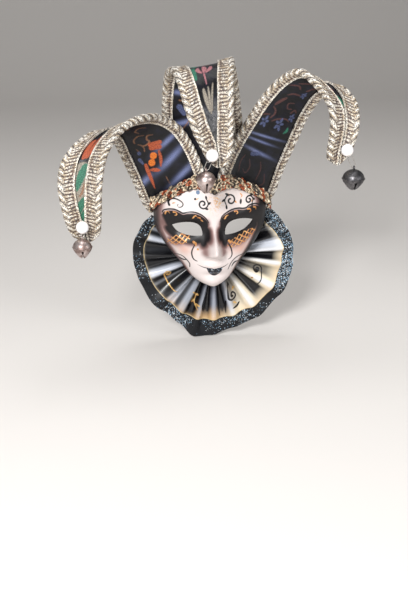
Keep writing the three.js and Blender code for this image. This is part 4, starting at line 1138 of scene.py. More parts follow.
# Sprigs on the stretches that can't be seen from the front: side, row, share across, kind, size, turn, colour
SPRIGS = [
    ("back", 0.9, 0.35, "rose", 9.0, 0, "copper"), ("back", 1.3, 0.66, "leaf", 20.0, 60, "teal"),
    ("back", 1.9, 0.34, "curl", 10.0, 40, "thread"), ("back", 2.4, 0.62, "rose", 9.0, 20, "slate"),
    ("back", 2.9, 0.36, "leaf", 20.0, 120, "teal"), ("back", 3.5, 0.60, "curl", 10.0, 210, "thread"),
    ("back", 4.1, 0.40, "rose", 8.0, 10, "copper"), ("back", 4.7, 0.58, "leaf", 14.0, 70, "slate"),
    ("back", 0.8, 0.7, "curl", 8.0, 100, "thread"), ("back", 1.6, 0.5, "leaf", 12.0, 20, "umber"),
    ("back", 2.7, 0.75, "curl", 7.0, 0, "umber"), ("back", 3.3, 0.3, "rose", 7.0, 0, "rose"),
    ("front", 6.4, 0.42, "rose", 6.5, 0, "copper"), ("front", 7.1, 0.56, "leaf", 13.0, 80, "teal"),
    ("front", 7.9, 0.45, "curl", 6.0, 30, "thread"), ("front", 8.6, 0.52, "leaf", 12.0, 100, "teal"),
    ("front", 9.4, 0.50, "rose", 5.0, 20, "copper"),
]
# Colours of the woven figures, the later ones over the earlier: light and deep screen colour, and cover
WEAVES = {
    "pale": ((176, 168, 152), (104, 94, 84), 0.85), "umber": ((108, 66, 60), (56, 34, 36), 0.75),
    "thread": ((164, 118, 84), (92, 60, 46), 0.85), "slate": ((96, 106, 144), (40, 47, 78), 0.8),
    "teal": ((54, 130, 100), (16, 68, 58), 0.95), "rose": ((188, 128, 128), (112, 66, 80), 1.0),
    "copper": ((192, 96, 56), (118, 50, 34), 0.95), "orange": ((228, 132, 44), (168, 76, 26), 0.95),
}
# Soft folds, each with a painted highlight along one side: row, share across, slope in rows per share, reach
# in shares, height and breadth in millimetres
CREASES = {
    "left": [(2.62, 0.26, -0.5, 0.22, 1.1, 4.2), (1.98, 0.34, -0.65, 0.26, 1.5, 5.4),
             (1.32, 0.28, -0.6, 0.22, 1.2, 4.6), (1.75, 0.85, -0.4, 0.14, 0.9, 5.0)],
    "middle": [(2.7, 0.25, 0.4, 0.4, 0.9, 3.0), (3.6, 0.2, -0.4, 0.3, 0.9, 3.4)],
    "right": [(2.79, 0.40, 0.12, 0.34, 1.0, 1.5), (2.58, 0.36, 0.0, 0.26, 0.9, 1.5),
              (2.2, 0.42, -0.2, 0.26, 0.9, 2.4)],
}
THREAD_LINE = 0.9


def sprig_distance(a, b, kind, size):
    """Distance to a sprig's edge about its middle, a along and b across, in millimetres.

    A rose is a disc inside a five-lobed ring, a leaf a bent lens with a bare vein, a curl a spiral line."""
    radius, turn = np.hypot(a, b), np.arctan2(b, a)
    if kind == "rose":
        ring = np.abs(radius - size * (0.68 + 0.1 * np.cos(5 * turn))) - 0.2 * size
        return np.minimum(radius - 0.3 * size, ring)
    if kind == "leaf":
        share = np.clip(a / size + 0.5, 0, 1)
        bent = b - 0.16 * size * (2 * share - 1) ** 2
        lens = np.abs(bent) - 0.21 * size * np.sin(np.pi * share) ** 0.9
        return np.maximum.reduce([lens, 0.35 - np.abs(bent), np.abs(a) - size / 2])
    turns = np.linspace(0, 3.3 * np.pi, 12)
    reach = size * (1 - 0.85 * np.linspace(0, 1, 12))
    line = np.stack([reach * np.cos(turns), reach * np.sin(turns)], -1)
    return stroke_distance(np.stack([a, b], -1), line, THREAD_LINE, THREAD_LINE * 1.4)


def woven(horn, side, row, across, along):
    """Least distance to the woven figures of each colour on one side of a horn."""
    found = {colour: np.full(len(row), FAR) for colour in WEAVES}
    places = np.stack([(across - 0.5) * horn_width(horn, row), along], -1)
    order = np.argsort(row)

    def in_millimetres(points):
        rows, shares = np.array(points, float).T
        lengths = np.interp(rows, row[order], along[order])
        return np.stack([(shares - 0.5) * horn_width(horn, rows), lengths], -1)

    for on_side, colour, points, *widths in FIGURES[horn]:
        if on_side == side:
            figure = stroke_distance(places, in_millimetres(points), *widths)
            found[colour] = np.minimum(found[colour], figure)
    for on_side, at_row, at_across, kind, size, turn, colour in SPRIGS:
        if on_side == side:
            offset = places - in_millimetres([(at_row, at_across)])
            c, s = math.cos(math.radians(turn)), math.sin(math.radians(turn))
            figure = sprig_distance(offset @ [c, s], offset @ [-s, c], kind, size)
            found[colour] = np.minimum(found[colour], figure)
    return found


def brocade_material():
    """Black satin with painted blue-violet highlights along its folds, woven figures in eight colours, and a
    fine slanting weave.
    """
    material, tree, shader = new_material("brocade", Sheen_Weight=0.08, Sheen_Roughness=0.3,
                                          Sheen_Tint=linear(140, 140, 205), Specular_IOR_Level=0.35)
    place = painted_value(tree, "cloth", "Vector")
    weave = placed(tree, THREAD, {"Place": place, "Pitch": 0.8, "Slant": 1.0, "Fleck": 0.2})
    grain = placed(tree, GRAIN, {"Place": place, "Blotch": 0.09, "Fine": 0.9})
    colour = mixed(tree, spread(tree, grain["Blotch"], 0.4, 0.75), linear(4, 4, 8), linear(15, 16, 30))
    # Painted blue-violet highlight along the folds
    painted_light_streak = math_node(tree, "MULTIPLY", painted_value(tree, "fold"),
                       spread(tree, grain["Fine"], 0.2, 0.6, 0.55, 1.0))
    colour = mixed(tree, painted_light_streak, colour, linear(106, 115, 154))
    soft = math_node(tree, "MULTIPLY_ADD", grain["Fine"], 3.4, -1.7)
    masks = []
    for label, (light, deep, cover) in WEAVES.items():
        paint = mixed(tree, spread(tree, grain["Fine"], 0.36, 0.6), linear(*deep), linear(*light))
        paint = mixed(tree, math_node(tree, "MULTIPLY", weave["Band"], 0.45), paint, linear(*deep))
        laid = placed(tree, STROKE, {"Under": colour, "Paint": paint, "Softness": 0.45, "Cover": cover,
                                     "Distance": math_node(tree, "ADD", painted_value(tree, label), soft)})
        colour = laid["Colour"]
        masks.append(laid["Mask"])
    raised = masks[0]
    for mask in masks[1:]:
        raised = math_node(tree, "MAXIMUM", raised, mask)
    height = math_node(tree, "MULTIPLY_ADD", raised, 0.4, math_node(tree, "MULTIPLY", weave["Height"], 0.12))
    height = math_node(tree, "MULTIPLY_ADD", grain["Blotch"], 2.6, height)
    feed(tree, shader, Base_Color=colour, Roughness=math_node(tree, "MULTIPLY_ADD", raised, 0.26, 0.3),
         Normal=bumped(tree, height, 0.7, 0.0006))
    return material


BROCADE = brocade_material()


def round_tip(rows, length, along, off_middle):
    """Rows and lengths drawn back towards the foot so that the horn's end is a half oval.

    off_middle is the share of the half width from the middle line: 0 there, 1 at the edge."""
    short = TIP_ROUNDING * (1 - np.sqrt(1 - np.clip(off_middle, 0, 1) ** 2))
    along = along * (1 - short / length[-1])
    return np.interp(along, length, rows), along


def make_horn(horn):
    """Panel of a horn on a grid of rows and shares across; creases stand out of its front as soft ridges,
    each with a painted highlight along one side.
    """
    steps, across_steps = 250, 71
    rows, length = even_rows(horn, 0.5, steps)
    across = np.tile(np.linspace(0, 1, across_steps), steps)
    row, along = round_tip(rows, length, np.repeat(length, across_steps), np.abs(2 * across - 1))
    middle = horn_points(horn, row, across)
    normals = horn_normals(horn, row, across)
    quads = facing(middle, grid_quads(steps, across_steps), normals)
    lift, fold = np.zeros(len(row)), np.zeros(len(row))
    for at_row, at_across, slope, reach, height, breadth in CREASES[horn]:
        offset = (row - at_row - slope * (across - at_across)) * ROW_LENGTH
        fade = bell_curve(across - at_across, reach)
        lift += height * (bell_curve(offset, breadth) * fade)
        # Painted highlight beside each crease; the back side gets a weaker copy
        fold = np.maximum(fold, bell_curve(offset - 0.4 * breadth, 0.62 * breadth) * fade)
    front = middle + normals * (HORN_WALL / 2 + lift * ease(0, 0.12, across) * ease(1, 0.88, across))[:, None]
    points, quads, _ = walled(front, quads, HORN_WALL, normals)
    over = (across - 0.5) * horn_width(horn, row)
    sides = [woven(horn, side, row, across, along) for side in ("front", "back")]
    paint = {colour: np.concatenate([side[colour] for side in sides]) for colour in sides[0]}
    paint["fold"] = np.concatenate([fold, 0.4 * fold])
    paint["cloth"] = np.tile(np.stack([over, along, np.zeros(len(row))], -1), (2, 1))
    make_piece(f"brocade_{horn}", points, quads, "mask", [f"horn_{horn}"], [BROCADE], None, paint)


for horn_name in HORN_FACING:
    make_horn(horn_name)


# Braid

BRAID_PITCH = 3.8
BRAID_RIB = 0.75
BRAID_FOLD_OUT = 2.4
BRAID_SLANT = 0.25
BRAID_CORD = 1.3
ROPE_PITCH = 9.0
ROPE_SLANT = 0.9
EYELET_STEP = 15.0
EYELET_RADIUS = 1.2
FOLD_HALF = 4.0


def braid_material():
    """Lurex braid: cream and pale gold ribs with painted white highlights on their tops, dark grooves between
    that are partly painted shade, flecks and eyelets.
    """
    material, tree, shader = new_material("lurex braid", Specular_IOR_Level=0.6)
    place = painted_value(tree, "braid", "Vector")
    thread = placed(tree, THREAD, {"Place": place, "Pitch": 1.3, "Slant": 0.9, "Fleck": 0.23})
    grain = placed(tree, GRAIN, {"Place": place, "Blotch": 0.1, "Fine": 0.75})
    blotch = spread(tree, grain["Blotch"], 0.38, 0.62)
    light = mixed(tree, blotch, linear(246, 240, 226), linear(206, 190, 162))
    light = mixed(tree, math_node(tree, "MULTIPLY", thread["Fleck"], 0.4), light, linear(132, 104, 88))
    gold = mixed(tree, math_node(tree, "MULTIPLY", thread["Band"], 0.35), light, linear(150, 126, 98))
    # Grooves between the ribs: dark thread, deepened as painted shade
    groove = mixed(tree, spread(tree, grain["Fine"], 0.38, 0.56), linear(24, 20, 24), linear(120, 94, 80))
    rib = painted_value(tree, "rib")
    colour = mixed(tree, spread(tree, rib, 0.05, 0.5), groove, gold)
    # Painted white highlight on the tops of the ribs and of the rope
    colour = mixed(tree, spread(tree, rib, 0.7, 0.95, 0.0, 0.75), colour, linear(255, 253, 246))
    fleck = spread(tree, grain["Fine"], 0.51, 0.57)
    colour = mixed(tree, math_node(tree, "MULTIPLY", fleck, 0.9), colour, linear(40, 32, 38))
    eyelet = math_node(tree, "ADD", painted_value(tree, "eyelet"), -2.5)
    eyelet = math_node(tree, "MULTIPLY_ADD", grain["Fine"], 5.0, eyelet)
    holed = placed(tree, STROKE, {"Under": colour, "Paint": linear(26, 27, 44), "Distance": eyelet,
                                  "Softness": 0.5, "Cover": 0.85})
    feed(tree, shader, Base_Color=holed["Colour"],
         Roughness=spread(tree, grain["Fine"], 0.3, 0.7, 0.28, 0.55),
         Metallic=math_node(tree, "MULTIPLY_ADD", fleck, -0.2, 0.22),
         Normal=bumped(tree, thread["Height"], 0.5, 0.0004))
    return material


BRAID = braid_material()


def ridges(phase):
    """Raised cosine of a phase counted in turns."""
    return 0.5 + 0.5 * np.cos(2 * np.pi * phase)


def make_braid(horn, edge, label):
    """Braid folded round one edge of a horn: front leg, half oval round the edge, and back leg.

    Ribs cross each leg (a cosine of the length plus a share of the distance in), a thin cord runs along its
    end, and a slanting two-coloured rope lies along the fold."""
    steps = 560
    rows, length = even_rows(horn, edge, steps)
    inward = 1 if edge == 0 else -1
    outside = HORN_WALL / 2 + BRAID_GAP + BRAID_WALL
    legs, folds, longs = 11, 9, 17
    reach = np.concatenate([np.linspace(1, 0, legs), np.zeros(folds - 2), np.linspace(0, 1, longs)])
    bend = np.concatenate([np.ones(legs), np.linspace(1, -1, folds)[1:-1], -np.ones(longs)])
    around = len(reach)
    reach, bend = np.tile(reach, steps), np.tile(bend, steps)
    row, along = round_tip(rows, length, np.repeat(length, around), 1 - reach)
    width = horn_width(horn, row)
    back = np.minimum(BRAID_LEG, (width - BRAID_MEETING_GAP) / 2)
    leg = np.where(bend >= 1, back * BRAID_FRONT_SHARE, back)
    inset = reach * leg
    across = edge + inward * inset / width
    start = horn_points(horn, row, np.full(len(row), float(edge)))
    out = unit(start - horn_points(horn, row, np.full(len(row), edge + inward * 0.05)))
    normal = horn_normals(horn, row, across)
    turn = np.radians(90 * bend)
    stand = out * (BRAID_FOLD_OUT * np.cos(turn))[:, None] + normal * (outside * np.sin(turn))[:, None]
    away = unit(out * np.cos(turn)[:, None] + normal * np.sin(turn)[:, None])
    over = FOLD_HALF * bend + np.sign(bend) * inset
    cord = ease(2.0 * BRAID_CORD, 0.8 * BRAID_CORD, leg - inset) * (reach > 0)
    rope = ease(4.4, 2.0, inset)
    drift = 0.4 * np.sin(along / 6.1 + 0.2 * inset) + 0.25 * np.sin(along / 2.9 - 0.3 * inset)
    uneven = 0.84 + 0.16 * np.sin(along / 4.3 + 0.8 * inset)
    # rib sets the relief; the material also paints a highlight on its tops and shade in its grooves
    rib = ridges((along + BRAID_SLANT * inset + drift) / BRAID_PITCH) * uneven
    rib = rib * (1 - 0.8 * bell_curve(leg - inset - 2.6 * BRAID_CORD, 0.9) * (reach > 0))
    rib = rib * (1 - cord) + cord * (0.6 + 0.4 * ridges((along - 1.2 * over) / (0.6 * BRAID_PITCH)))
    twist = (along + ROPE_SLANT * over + 2.2 * np.sin(along / 8.7)) / ROPE_PITCH
    rib = rib * (1 - rope) + rope * (0.3 + 0.7 * ridges(twist))
    lift = BRAID_RIB * rib + 0.3 * cord + 0.3 * rope - 0.3
    points = horn_points(horn, row, across) + stand + away * lift[:, None]
    quads = facing(points, grid_quads(steps, around), away)
    wall_points, wall_quads, _ = walled(points, quads, BRAID_WALL + lift, away)
    spots = np.hypot((along - 1.4 * over) % EYELET_STEP - EYELET_STEP / 2, inset - 0.6 * leg) - EYELET_RADIUS
    dark_strand = (np.abs(twist % 1 - 0.5) - 0.075) * ROPE_PITCH
    eyelet = np.where(rope > 0.5, dark_strand, np.where(cord > 0.5, FAR, spots))
    paint = {"braid": np.tile(np.stack([over, along, np.zeros(len(along))], -1), (2, 1)),
             "rib": np.tile(rib, 2), "eyelet": np.tile(eyelet, 2)}
    make_piece(f"braid_{horn}_{label}", wall_points, wall_quads, "mask",
               [f"horn_{horn}_{label}_braid"], [BRAID], None, paint)


for horn_name in HORN_FACING:
    make_braid(horn_name, 0, "inner")
    make_braid(horn_name, 1, "outer")


# Forehead trim

TRIM_SEAT = 0.45
TRIM_END_ANGLE = 86
TRIM_WAVES = 12
# Cords: phase, swing across, radius, finish
TRIM_CORDS = [(0.0, 6.0, 1.6, 0), (0.5, 6.0, 1.6, 2), (0.25, 6.2, 1.4, 1), (0.75, 6.2, 1.5, 0)]
# Rows of small rings sewn on the cords: place across, number along, ring radius, wire radius
TRIM_RINGS = [(-5.4, 31, 2.7, 1.15), (0.4, 33, 3.0, 1.25), (6.0, 31, 2.7, 1.15)]
RING_FINISH = [0, 2, 0, 1, 0, 0, 2, 0, 1]
RING_HEIGHT = 4.3
RING_TURNS, RING_SIDES = 12, 6
# Finishes, by number: name, light and deep screen colour, and shine
TRIM_FINISHES = [("gimp gold", (252, 240, 214), (186, 150, 110), 0.25),
                 ("gimp copper", (214, 104, 48), (124, 52, 26), 0.2),
                 ("gimp dark", (70, 58, 46), (18, 16, 18), 0.2)]
TAPE_FINISH = 2
TAPE_HALF = 7.4
TAPE_COLUMNS = 9
TAPE_HEIGHT = 1.9
TAPE_CROWN = 0.7
TAPE_WALL = 1.1
CORD_HEIGHT = 2.4
CORD_DIP = 0.8
CORD_SIDES = 10


def trim_material(name, light, deep, shine):
    """Gimp cord: metal thread wound round a core, light and deep bands with dark flecks."""
    material, tree, shader = new_material(name, Specular_IOR_Level=0.6)
    place = painted_value(tree, "cord", "Vector")
    thread = placed(tree, THREAD, {"Place": place, "Pitch": 1.1, "Slant": 0.5, "Fleck": 0.24})
    colour = mixed(tree, thread["Band"], linear(*deep), linear(*light))
    colour = mixed(tree, math_node(tree, "MULTIPLY", thread["Fleck"], 0.7), colour, linear(30, 20, 16))
    feed(tree, shader, Base_Color=colour, Roughness=spread(tree, thread["Band"], 0.0, 1.0, 0.5, 0.3),
         Metallic=math_node(tree, "MULTIPLY_ADD", thread["Fleck"], -shine / 2, shine),
         Normal=bumped(tree, thread["Height"], 0.6, 0.0004))
    return material


def make_trim():
    """Gimp along the forehead's edge: a dark tape, a plait of four lumpy cords, and rows of small rings.

    Each cord swings across by a sine of the length and rises and dips by the sine of twice that, half a step
    apart, so the cords pass over and under each other. A ring is a torus tilted by its number."""
    steps = 520
    angle = np.linspace(-TRIM_END_ANGLE, TRIM_END_ANGLE, steps)
    share = np.linspace(0, 1, steps)
    z = forehead_edge(angle) - 1

    def on_face(turn, height):
        return face_points(face_half_width(height) * np.sin(np.radians(turn)), height)

    middle = on_face(angle, z)
    up = unit(on_face(angle, z + 0.4) - on_face(angle, z - 0.4))
    along = unit(np.gradient(middle, axis=0))
    normal = unit(np.cross(along, up))
    normal *= np.sign((normal * FRONT).sum())
    length = np.concatenate([[0], np.cumsum(np.linalg.norm(np.diff(middle, axis=0), axis=1))])
    tape = np.linspace(-1, 1, TAPE_COLUMNS)
    stand = TRIM_SEAT + TAPE_HEIGHT - TAPE_CROWN * tape ** 2
    sheet = (middle[:, None] + up[:, None] * (TAPE_HALF * tape)[None, :, None]
             + normal[:, None] * stand[None, :, None]).reshape(-1, 3)
    outer = np.repeat(normal, TAPE_COLUMNS, axis=0)
    quads = facing(sheet, grid_quads(steps, TAPE_COLUMNS), outer)
    bodies = [walled(sheet, quads, TAPE_WALL, outer)[:2]]
    finish = [TAPE_FINISH]
    for phase, swing, radius, colour in TRIM_CORDS:
        turn = 2 * np.pi * (TRIM_WAVES * share + phase)
        lumps = 1 + 0.18 * np.sin(5.3 * turn + 6 * phase)
        height = TRIM_SEAT + CORD_HEIGHT + CORD_DIP * np.sin(2 * turn + np.pi * phase)
        path = middle + up * (swing * np.sin(turn))[:, None] + normal * height[:, None]
        bodies.append(tube(path, radius * lumps, CORD_SIDES, across=normal))
        finish.append(colour)
    turn, section = np.meshgrid(np.linspace(0, 2 * np.pi, RING_TURNS + 1),
                                np.linspace(0, 2 * np.pi, RING_SIDES + 1)[:-1], indexing="ij")
    for row, (place, count, radius, wire) in enumerate(TRIM_RINGS):
        for k, at in enumerate(np.linspace(0.015, 0.985, count) + 0.004 * row):
            i = min(int(at * steps), steps - 1)
            tilt = 0.45 * math.sin(2.4 * k + row)
            far = radius + wire * np.cos(section)
            a = far * np.cos(turn)
            b = 0.85 * far * np.sin(turn)
            c = wire * np.sin(section) + tilt * far * np.cos(turn)
            level = place + 1.3 * math.sin(3.7 * k + row)
            centre = middle[i] + up[i] * level + normal[i] * (TRIM_SEAT + RING_HEIGHT)
            ring = centre + (a[..., None] * along[i] + b[..., None] * up[i] + c[..., None] * normal[i])
            points, _, quads = welded(ring.reshape(-1, 3), grid_quads(RING_TURNS + 1, RING_SIDES, wrap=True))
            bodies.append((points, outward(points - centre, quads)))
            finish.append(RING_FINISH[(k + 2 * row) % len(RING_FINISH)])
    points, quads, which = joined(bodies)
    nearest = np.abs(points[:, None, 0] - middle[None, ::4, 0]).argmin(1) * 4
    cord = np.stack([((points - middle[nearest]) * up[nearest]).sum(-1),
                     length[nearest] + ((points - middle[nearest]) * along[nearest]).sum(-1),
                     np.zeros(len(points))], -1)
    materials = [trim_material(*row) for row in TRIM_FINISHES]
    make_piece("gimp_trim", points, quads, "mask", ["forehead_trim"], materials,
               np.array(finish)[which], {"cord": cord}, crease=80)


make_trim()


# Pearls, wires and bells

BEAD_RADIUS = 7.0
BEAD_BORE = 0.75
BEAD_GAP = 0.3
BEAD_ARC, BEAD_TURNS = 33, 48
WIRE_RADIUS = 0.4
WIRE_SIDES = 10
WIRE_STEPS = 110
LOOP_STEPS = 13
BELL_WALL = 0.9
BELL_RING_RADIUS = 1.8
BELL_RING_WIRE = 0.7
BELL_SLIT = 1.8
BELL_SLIT_TOP = -0.22
BELL_SLIT_HOLE = 1.5
BELL_PETAL_COLUMNS = 15
BELL_PROFILE_STEPS = 150
# Seam round the bell, in shares of its radius
SEAM_RISE = 0.055
SEAM_HALF_WIDTH = 0.045
# Ball inside the bell, in shares of the bell's radius: its radius and the height of its middle
PELLET = 0.32
PELLET_HEIGHT = -0.74
# Outline of a bell from its foot to its top: radius and height, in shares of the bell's radius
BELL_PROFILE = [(0, -1.2), (0.22, -1.14), (0.46, -0.92), (0.72, -0.56), (0.89, -0.26), (0.95, 0.0),
                (0.82, 0.37), (0.48, 0.67), (0, 0.82)]
# Horn, row along it, share across, drop of the loop, half its width, lean aside and out, radius and stretch
PENDANTS = [
    ("left", 9.5, 0.55, 3.6, 2.1, -1, 3, 11.2, 1.0), ("middle", 10.25, 0.2, 8.5, 2.6, -7, 0, 11.2, 1.2),
    ("right", 9.95, 0.76, 13.2, 2.6, 9, 0, 13.4, 0.85)]


def pearl_material():
    """White pearl: a faint rosy and bluish cloud under a clear gloss."""
    material, tree, shader = new_material("pearl", Roughness=0.18, Coat_Roughness=0.05, Coat_Weight=0.6,
                                          Specular_IOR_Level=0.6)
    grain = placed(tree, GRAIN, {"Place": object_place(tree), "Blotch": 120.0, "Fine": 2000.0})
    blotch = spread(tree, grain["Blotch"], 0.35, 0.65)
    colour = mixed(tree, blotch, linear(250, 244, 240), linear(236, 236, 242))
    feed(tree, shader, Base_Color=colour)
    return material


def wire_material():
    """Drawn steel wire with faint rubbed patches."""
    material, tree, shader = new_material("steel wire", Metallic=1.0)
    grain = placed(tree, GRAIN, {"Place": object_place(tree), "Blotch": 300.0, "Fine": 2500.0})
    colour = mixed(tree, grain["Blotch"], linear(150, 146, 140), linear(210, 206, 200))
    feed(tree, shader, Base_Color=colour, Roughness=spread(tree, grain["Fine"], 0.3, 0.7, 0.25, 0.45))
    return material


def bell_material(name, light, deep, worn):
    """Antiqued plating: dull metal, darker blotches, and pale rubbed patches."""
    material, tree, shader = new_material(name, Metallic=0.9)
    grain = placed(tree, GRAIN, {"Place": object_place(tree), "Blotch": 130.0, "Fine": 1500.0})
    colour = mixed(tree, spread(tree, grain["Blotch"], 0.35, 0.65), linear(*light), linear(*deep))
    rubbed = math_node(tree, "MULTIPLY", spread(tree, grain["Fine"], 0.55, 0.72),
                       spread(tree, grain["Blotch"], 0.6, 0.4))
    colour = mixed(tree, rubbed, colour, linear(*worn))
    feed(tree, shader, Base_Color=colour, Roughness=spread(tree, grain["Blotch"], 0.3, 0.7, 0.3, 0.48),
         Normal=bumped(tree, grain["Fine"], 0.12, 0.0002))
    return material


def turned(points, hang):
    """Points turned so that straight down becomes the way the pendant hangs (Rodrigues' formula)."""
    down, to = np.array([0.0, 0.0, -1.0]), hang / np.linalg.norm(hang)
    axis, cosine = np.cross(down, to), float(down @ to)
    crossed = np.cross(np.broadcast_to(axis, points.shape), points)
    return points + crossed + np.cross(np.broadcast_to(axis, points.shape), crossed) / (1 + cosine)


def bead_body():
    """Sphere with a bore: a half circle from bore to bore and straight back, turned round the axis."""
    start = math.asin(BEAD_BORE / BEAD_RADIUS)
    arc = np.linspace(start, np.pi - start, BEAD_ARC)
    radius = np.append(BEAD_RADIUS * np.sin(arc), BEAD_BORE)
    z = np.append(-BEAD_RADIUS * np.cos(arc), -BEAD_RADIUS * math.cos(start))
    turn = np.linspace(0, 2 * np.pi, BEAD_TURNS, endpoint=False)
    points = np.stack([radius[:, None] * np.cos(turn), radius[:, None] * np.sin(turn),
                       np.broadcast_to(z[:, None], (len(z), BEAD_TURNS))], -1).reshape(-1, 3)
    points, _, quads = welded(points, grid_quads(len(z), BEAD_TURNS, wrap=True))
    return points, outward(points, quads)


def wire_path(length, loop_half):
    """Stem through the pearl, then a long loop whose end comes back beside the stem; corners are rounded."""
    neck = -BEAD_RADIUS - 1.1 * WIRE_RADIUS
    shoulder, middle = neck - loop_half / 2, loop_half - length
    bend = np.pi * (1 + np.linspace(0, 1, LOOP_STEPS))
    corners = np.vstack([
        [[0, BEAD_RADIUS + 1.2], [0, 0], [0, neck], [-loop_half, shoulder]],
        np.stack([loop_half * np.cos(bend), middle + loop_half * np.sin(bend)], -1),
        [[loop_half, shoulder]]])
    line = spline(corners, np.linspace(0, len(corners) - 1, WIRE_STEPS))
    return np.stack([line[:, 0], np.zeros(len(line)), line[:, 1]], -1)


def bell_ring_height(radius):
    """Height of the ring's middle above the middle of the bell."""
    return BELL_PROFILE[-1][1] * radius + BELL_RING_RADIUS - BELL_RING_WIRE / 2


def bell_body(radius, stretch):
    """Four petals of a turned profile, parted below by crossed slits, with a seam, a ring and a ball inside.

    The lower half is drawn out by the stretch. Each petal runs between the angles where its edge is half a
    slit from the axis; each slit ends above in a round hole, and higher up the petals meet."""
    profile = spline(BELL_PROFILE, np.linspace(0, len(BELL_PROFILE) - 1, BELL_PROFILE_STEPS)) * radius
    r, z = np.maximum(profile[:, 0], 0), profile[:, 1]
    z = np.where(z < 0, stretch * z, z)
    r = r + SEAM_RISE * radius * bell_curve(z, SEAM_HALF_WIDTH * radius)
    half = BELL_SLIT / 2
    keep = (z > 0) | (r > half * 1.5)
    r, z = r[keep], z[keep]
    depth = BELL_SLIT_TOP * radius - z
    hole = np.sqrt(np.clip(BELL_SLIT_HOLE ** 2 - (depth - BELL_SLIT_HOLE) ** 2, 0, None))
    gap = np.maximum(half * (depth > BELL_SLIT_HOLE), hole)
    start = np.arcsin(np.clip(gap / np.maximum(r, 1e-6), 0, 0.7))
    share = np.linspace(0, 1, BELL_PETAL_COLUMNS)
    petals = []
    for quarter in range(4):
        turn = quarter * np.pi / 2 + start[:, None] + (np.pi / 2 - 2 * start[:, None]) * share
        petals.append(np.stack([r[:, None] * np.cos(turn), r[:, None] * np.sin(turn),
                                np.broadcast_to(z[:, None], turn.shape)], -1).reshape(-1, 3))
    count = len(petals[0])
    quads = np.vstack([grid_quads(len(r), BELL_PETAL_COLUMNS) + k * count for k in range(4)])
    points, _, quads = welded(np.vstack(petals), quads)
    shell = walled(points, facing(points, quads, points), BELL_WALL)[:2]
    turns, sides = 40, 16
    around, section = np.meshgrid(np.linspace(0, 2 * np.pi, turns, endpoint=False),
                                  np.linspace(0, 2 * np.pi, sides, endpoint=False), indexing="ij")
    reach = BELL_RING_RADIUS + BELL_RING_WIRE * np.cos(section)
    ring = np.stack([BELL_RING_WIRE * np.sin(section), reach * np.cos(around),
                     reach * np.sin(around) + bell_ring_height(radius)], -1)
    ring = np.vstack([ring, ring[:1]]).reshape(-1, 3)
    ring_points, _, ring_quads = welded(ring, grid_quads(turns + 1, sides, wrap=True))
    levels, sides = 17, 24
    tilt, turn = np.meshgrid(np.linspace(0, np.pi, levels),
                             np.linspace(0, 2 * np.pi, sides, endpoint=False), indexing="ij")
    ball = np.stack([np.sin(tilt) * np.cos(turn), np.sin(tilt) * np.sin(turn), np.cos(tilt)], -1)
    ball = ball.reshape(-1, 3) * PELLET * radius + [0, 0, PELLET_HEIGHT * stretch * radius]
    ball_points, _, ball_quads = welded(ball, grid_quads(levels, sides, wrap=True))
    return joined([shell, (ring_points, outward(ring_points, ring_quads)),
                   (ball_points, outward(ball_points, ball_quads))])


def make_pendants():
    """Pearl on the outer side of each horn's end, the wire that hangs from it, and the bell on its loop."""
    pearl, steel = pearl_material(), wire_material()
    bells = {"left": bell_material("antique bell", (206, 190, 186), (134, 114, 108), (242, 234, 230)),
             "right": bell_material("dark bell", (112, 110, 112), (66, 65, 68), (160, 158, 160))}
    bells["middle"] = bells["left"]
    standoff = HORN_WALL / 2 + BRAID_GAP + BRAID_WALL + BEAD_GAP + BEAD_RADIUS
    for horn, row, across, drop, loop_half, lean_x, lean_y, radius, stretch in PENDANTS:
        at = np.array([row]), np.array([across])
        middle = (horn_points(horn, *at) - horn_normals(horn, *at) * standoff)[0]
        hang = np.array([lean_x, -lean_y, -BEAD_RADIUS - drop], float)
        points, quads = bead_body()
        make_piece(f"pearl_{horn}", turned(points, hang) + middle, quads, "mask",
                   [f"bead_{horn}"], [pearl])
        path = turned(wire_path(np.linalg.norm(hang), loop_half), hang) + middle
        points, quads = tube(path, WIRE_RADIUS, WIRE_SIDES, across=turned(-FRONT[None], hang)[0])
        make_piece(f"wire_{horn}", points, quads, "mask", [f"bell_wire_{horn}"], [steel])
        points, quads, _ = bell_body(radius, stretch)
        bend = middle + hang - [0, 0, bell_ring_height(radius)]
        make_piece(f"jingle_{horn}", points + bend, quads, f"bell_{horn}",
                   [f"bell_{horn}"], [bells[horn]])


make_pendants()


# Floor and light

FLOOR_GAP = 0.0006
FLOOR_FRONT = -4.0
FLOOR_BACK = 2.0
FLOOR_BEND = 1.5
FLOOR_TOP = 6.0
FLOOR_HALF_WIDTH = 6.0
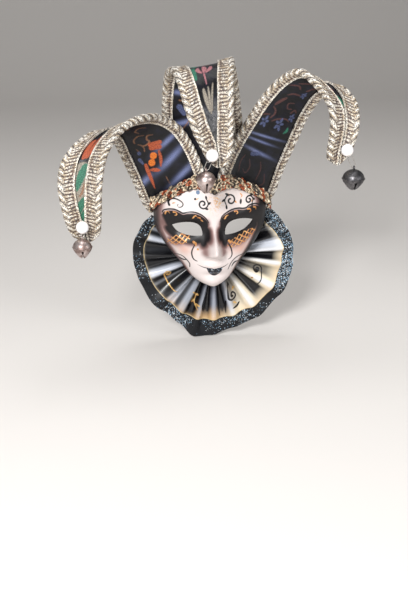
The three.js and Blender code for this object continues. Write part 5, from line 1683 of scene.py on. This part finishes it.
# Lamps: name, place, size and power
LAMPS = [("key", (-0.7, -1.5, 0.9), 0.45, 38.0), ("fill", (1.2, -1.2, 0.5), 0.8, 9.0),
         ("top", (0.0, 0.1, 1.5), 0.9, 9.0)]
LAMP_AIM = np.array([0.0, -0.03, -0.03])
SKY_STRENGTH = 0.25


def set_stage():
    """Pale floor that curves up behind into a wall, soft lamps and a pale sky."""
    floor_z = cad_box[0][2] - FLOOR_GAP
    bend = np.radians(np.linspace(0, 90, 20))
    curve = np.stack([FLOOR_BACK + FLOOR_BEND * np.sin(bend), FLOOR_BEND - FLOOR_BEND * np.cos(bend)], -1)
    line = np.vstack([[[FLOOR_FRONT, 0.0]], curve, [[FLOOR_BACK + FLOOR_BEND, FLOOR_TOP]]])
    x = np.array([-FLOOR_HALF_WIDTH, FLOOR_HALF_WIDTH])
    points = np.stack([np.broadcast_to(x, (len(line), 2)), np.broadcast_to(line[:, :1], (len(line), 2)),
                       np.broadcast_to(line[:, 1:] + floor_z, (len(line), 2))], -1).reshape(-1, 3)
    mesh = bpy.data.meshes.new("floor")
    mesh.from_pydata(points.tolist(), [], grid_quads(len(line), 2).tolist())
    mesh.shade_smooth()
    material, _, _ = new_material("pale floor", Base_Color=linear(226, 222, 218), Roughness=0.55)
    mesh.materials.append(material)
    floor = bpy.data.objects.new("floor", mesh)
    bpy.context.scene.collection.objects.link(floor)
    for name, place, size, power in LAMPS:
        lamp = bpy.data.lights.new(name, "AREA")
        lamp.size = size
        lamp.energy = power
        holder = bpy.data.objects.new(name, lamp)
        holder.location = place
        aim = LAMP_AIM - place
        down = math.atan2(math.hypot(aim[0], aim[1]), -aim[2])
        holder.rotation_euler = (down, 0.0, math.atan2(-aim[0], aim[1]))
        bpy.context.scene.collection.objects.link(holder)
    world = bpy.data.worlds.new("studio")
    world.use_nodes = True
    sky = world.node_tree.nodes["Background"].inputs
    sky["Color"].default_value = (1.0, 1.0, 1.0, 1.0)
    sky["Strength"].default_value = SKY_STRENGTH
    bpy.context.scene.world = world
    bpy.context.scene.view_settings.view_transform = "Standard"


set_stage()
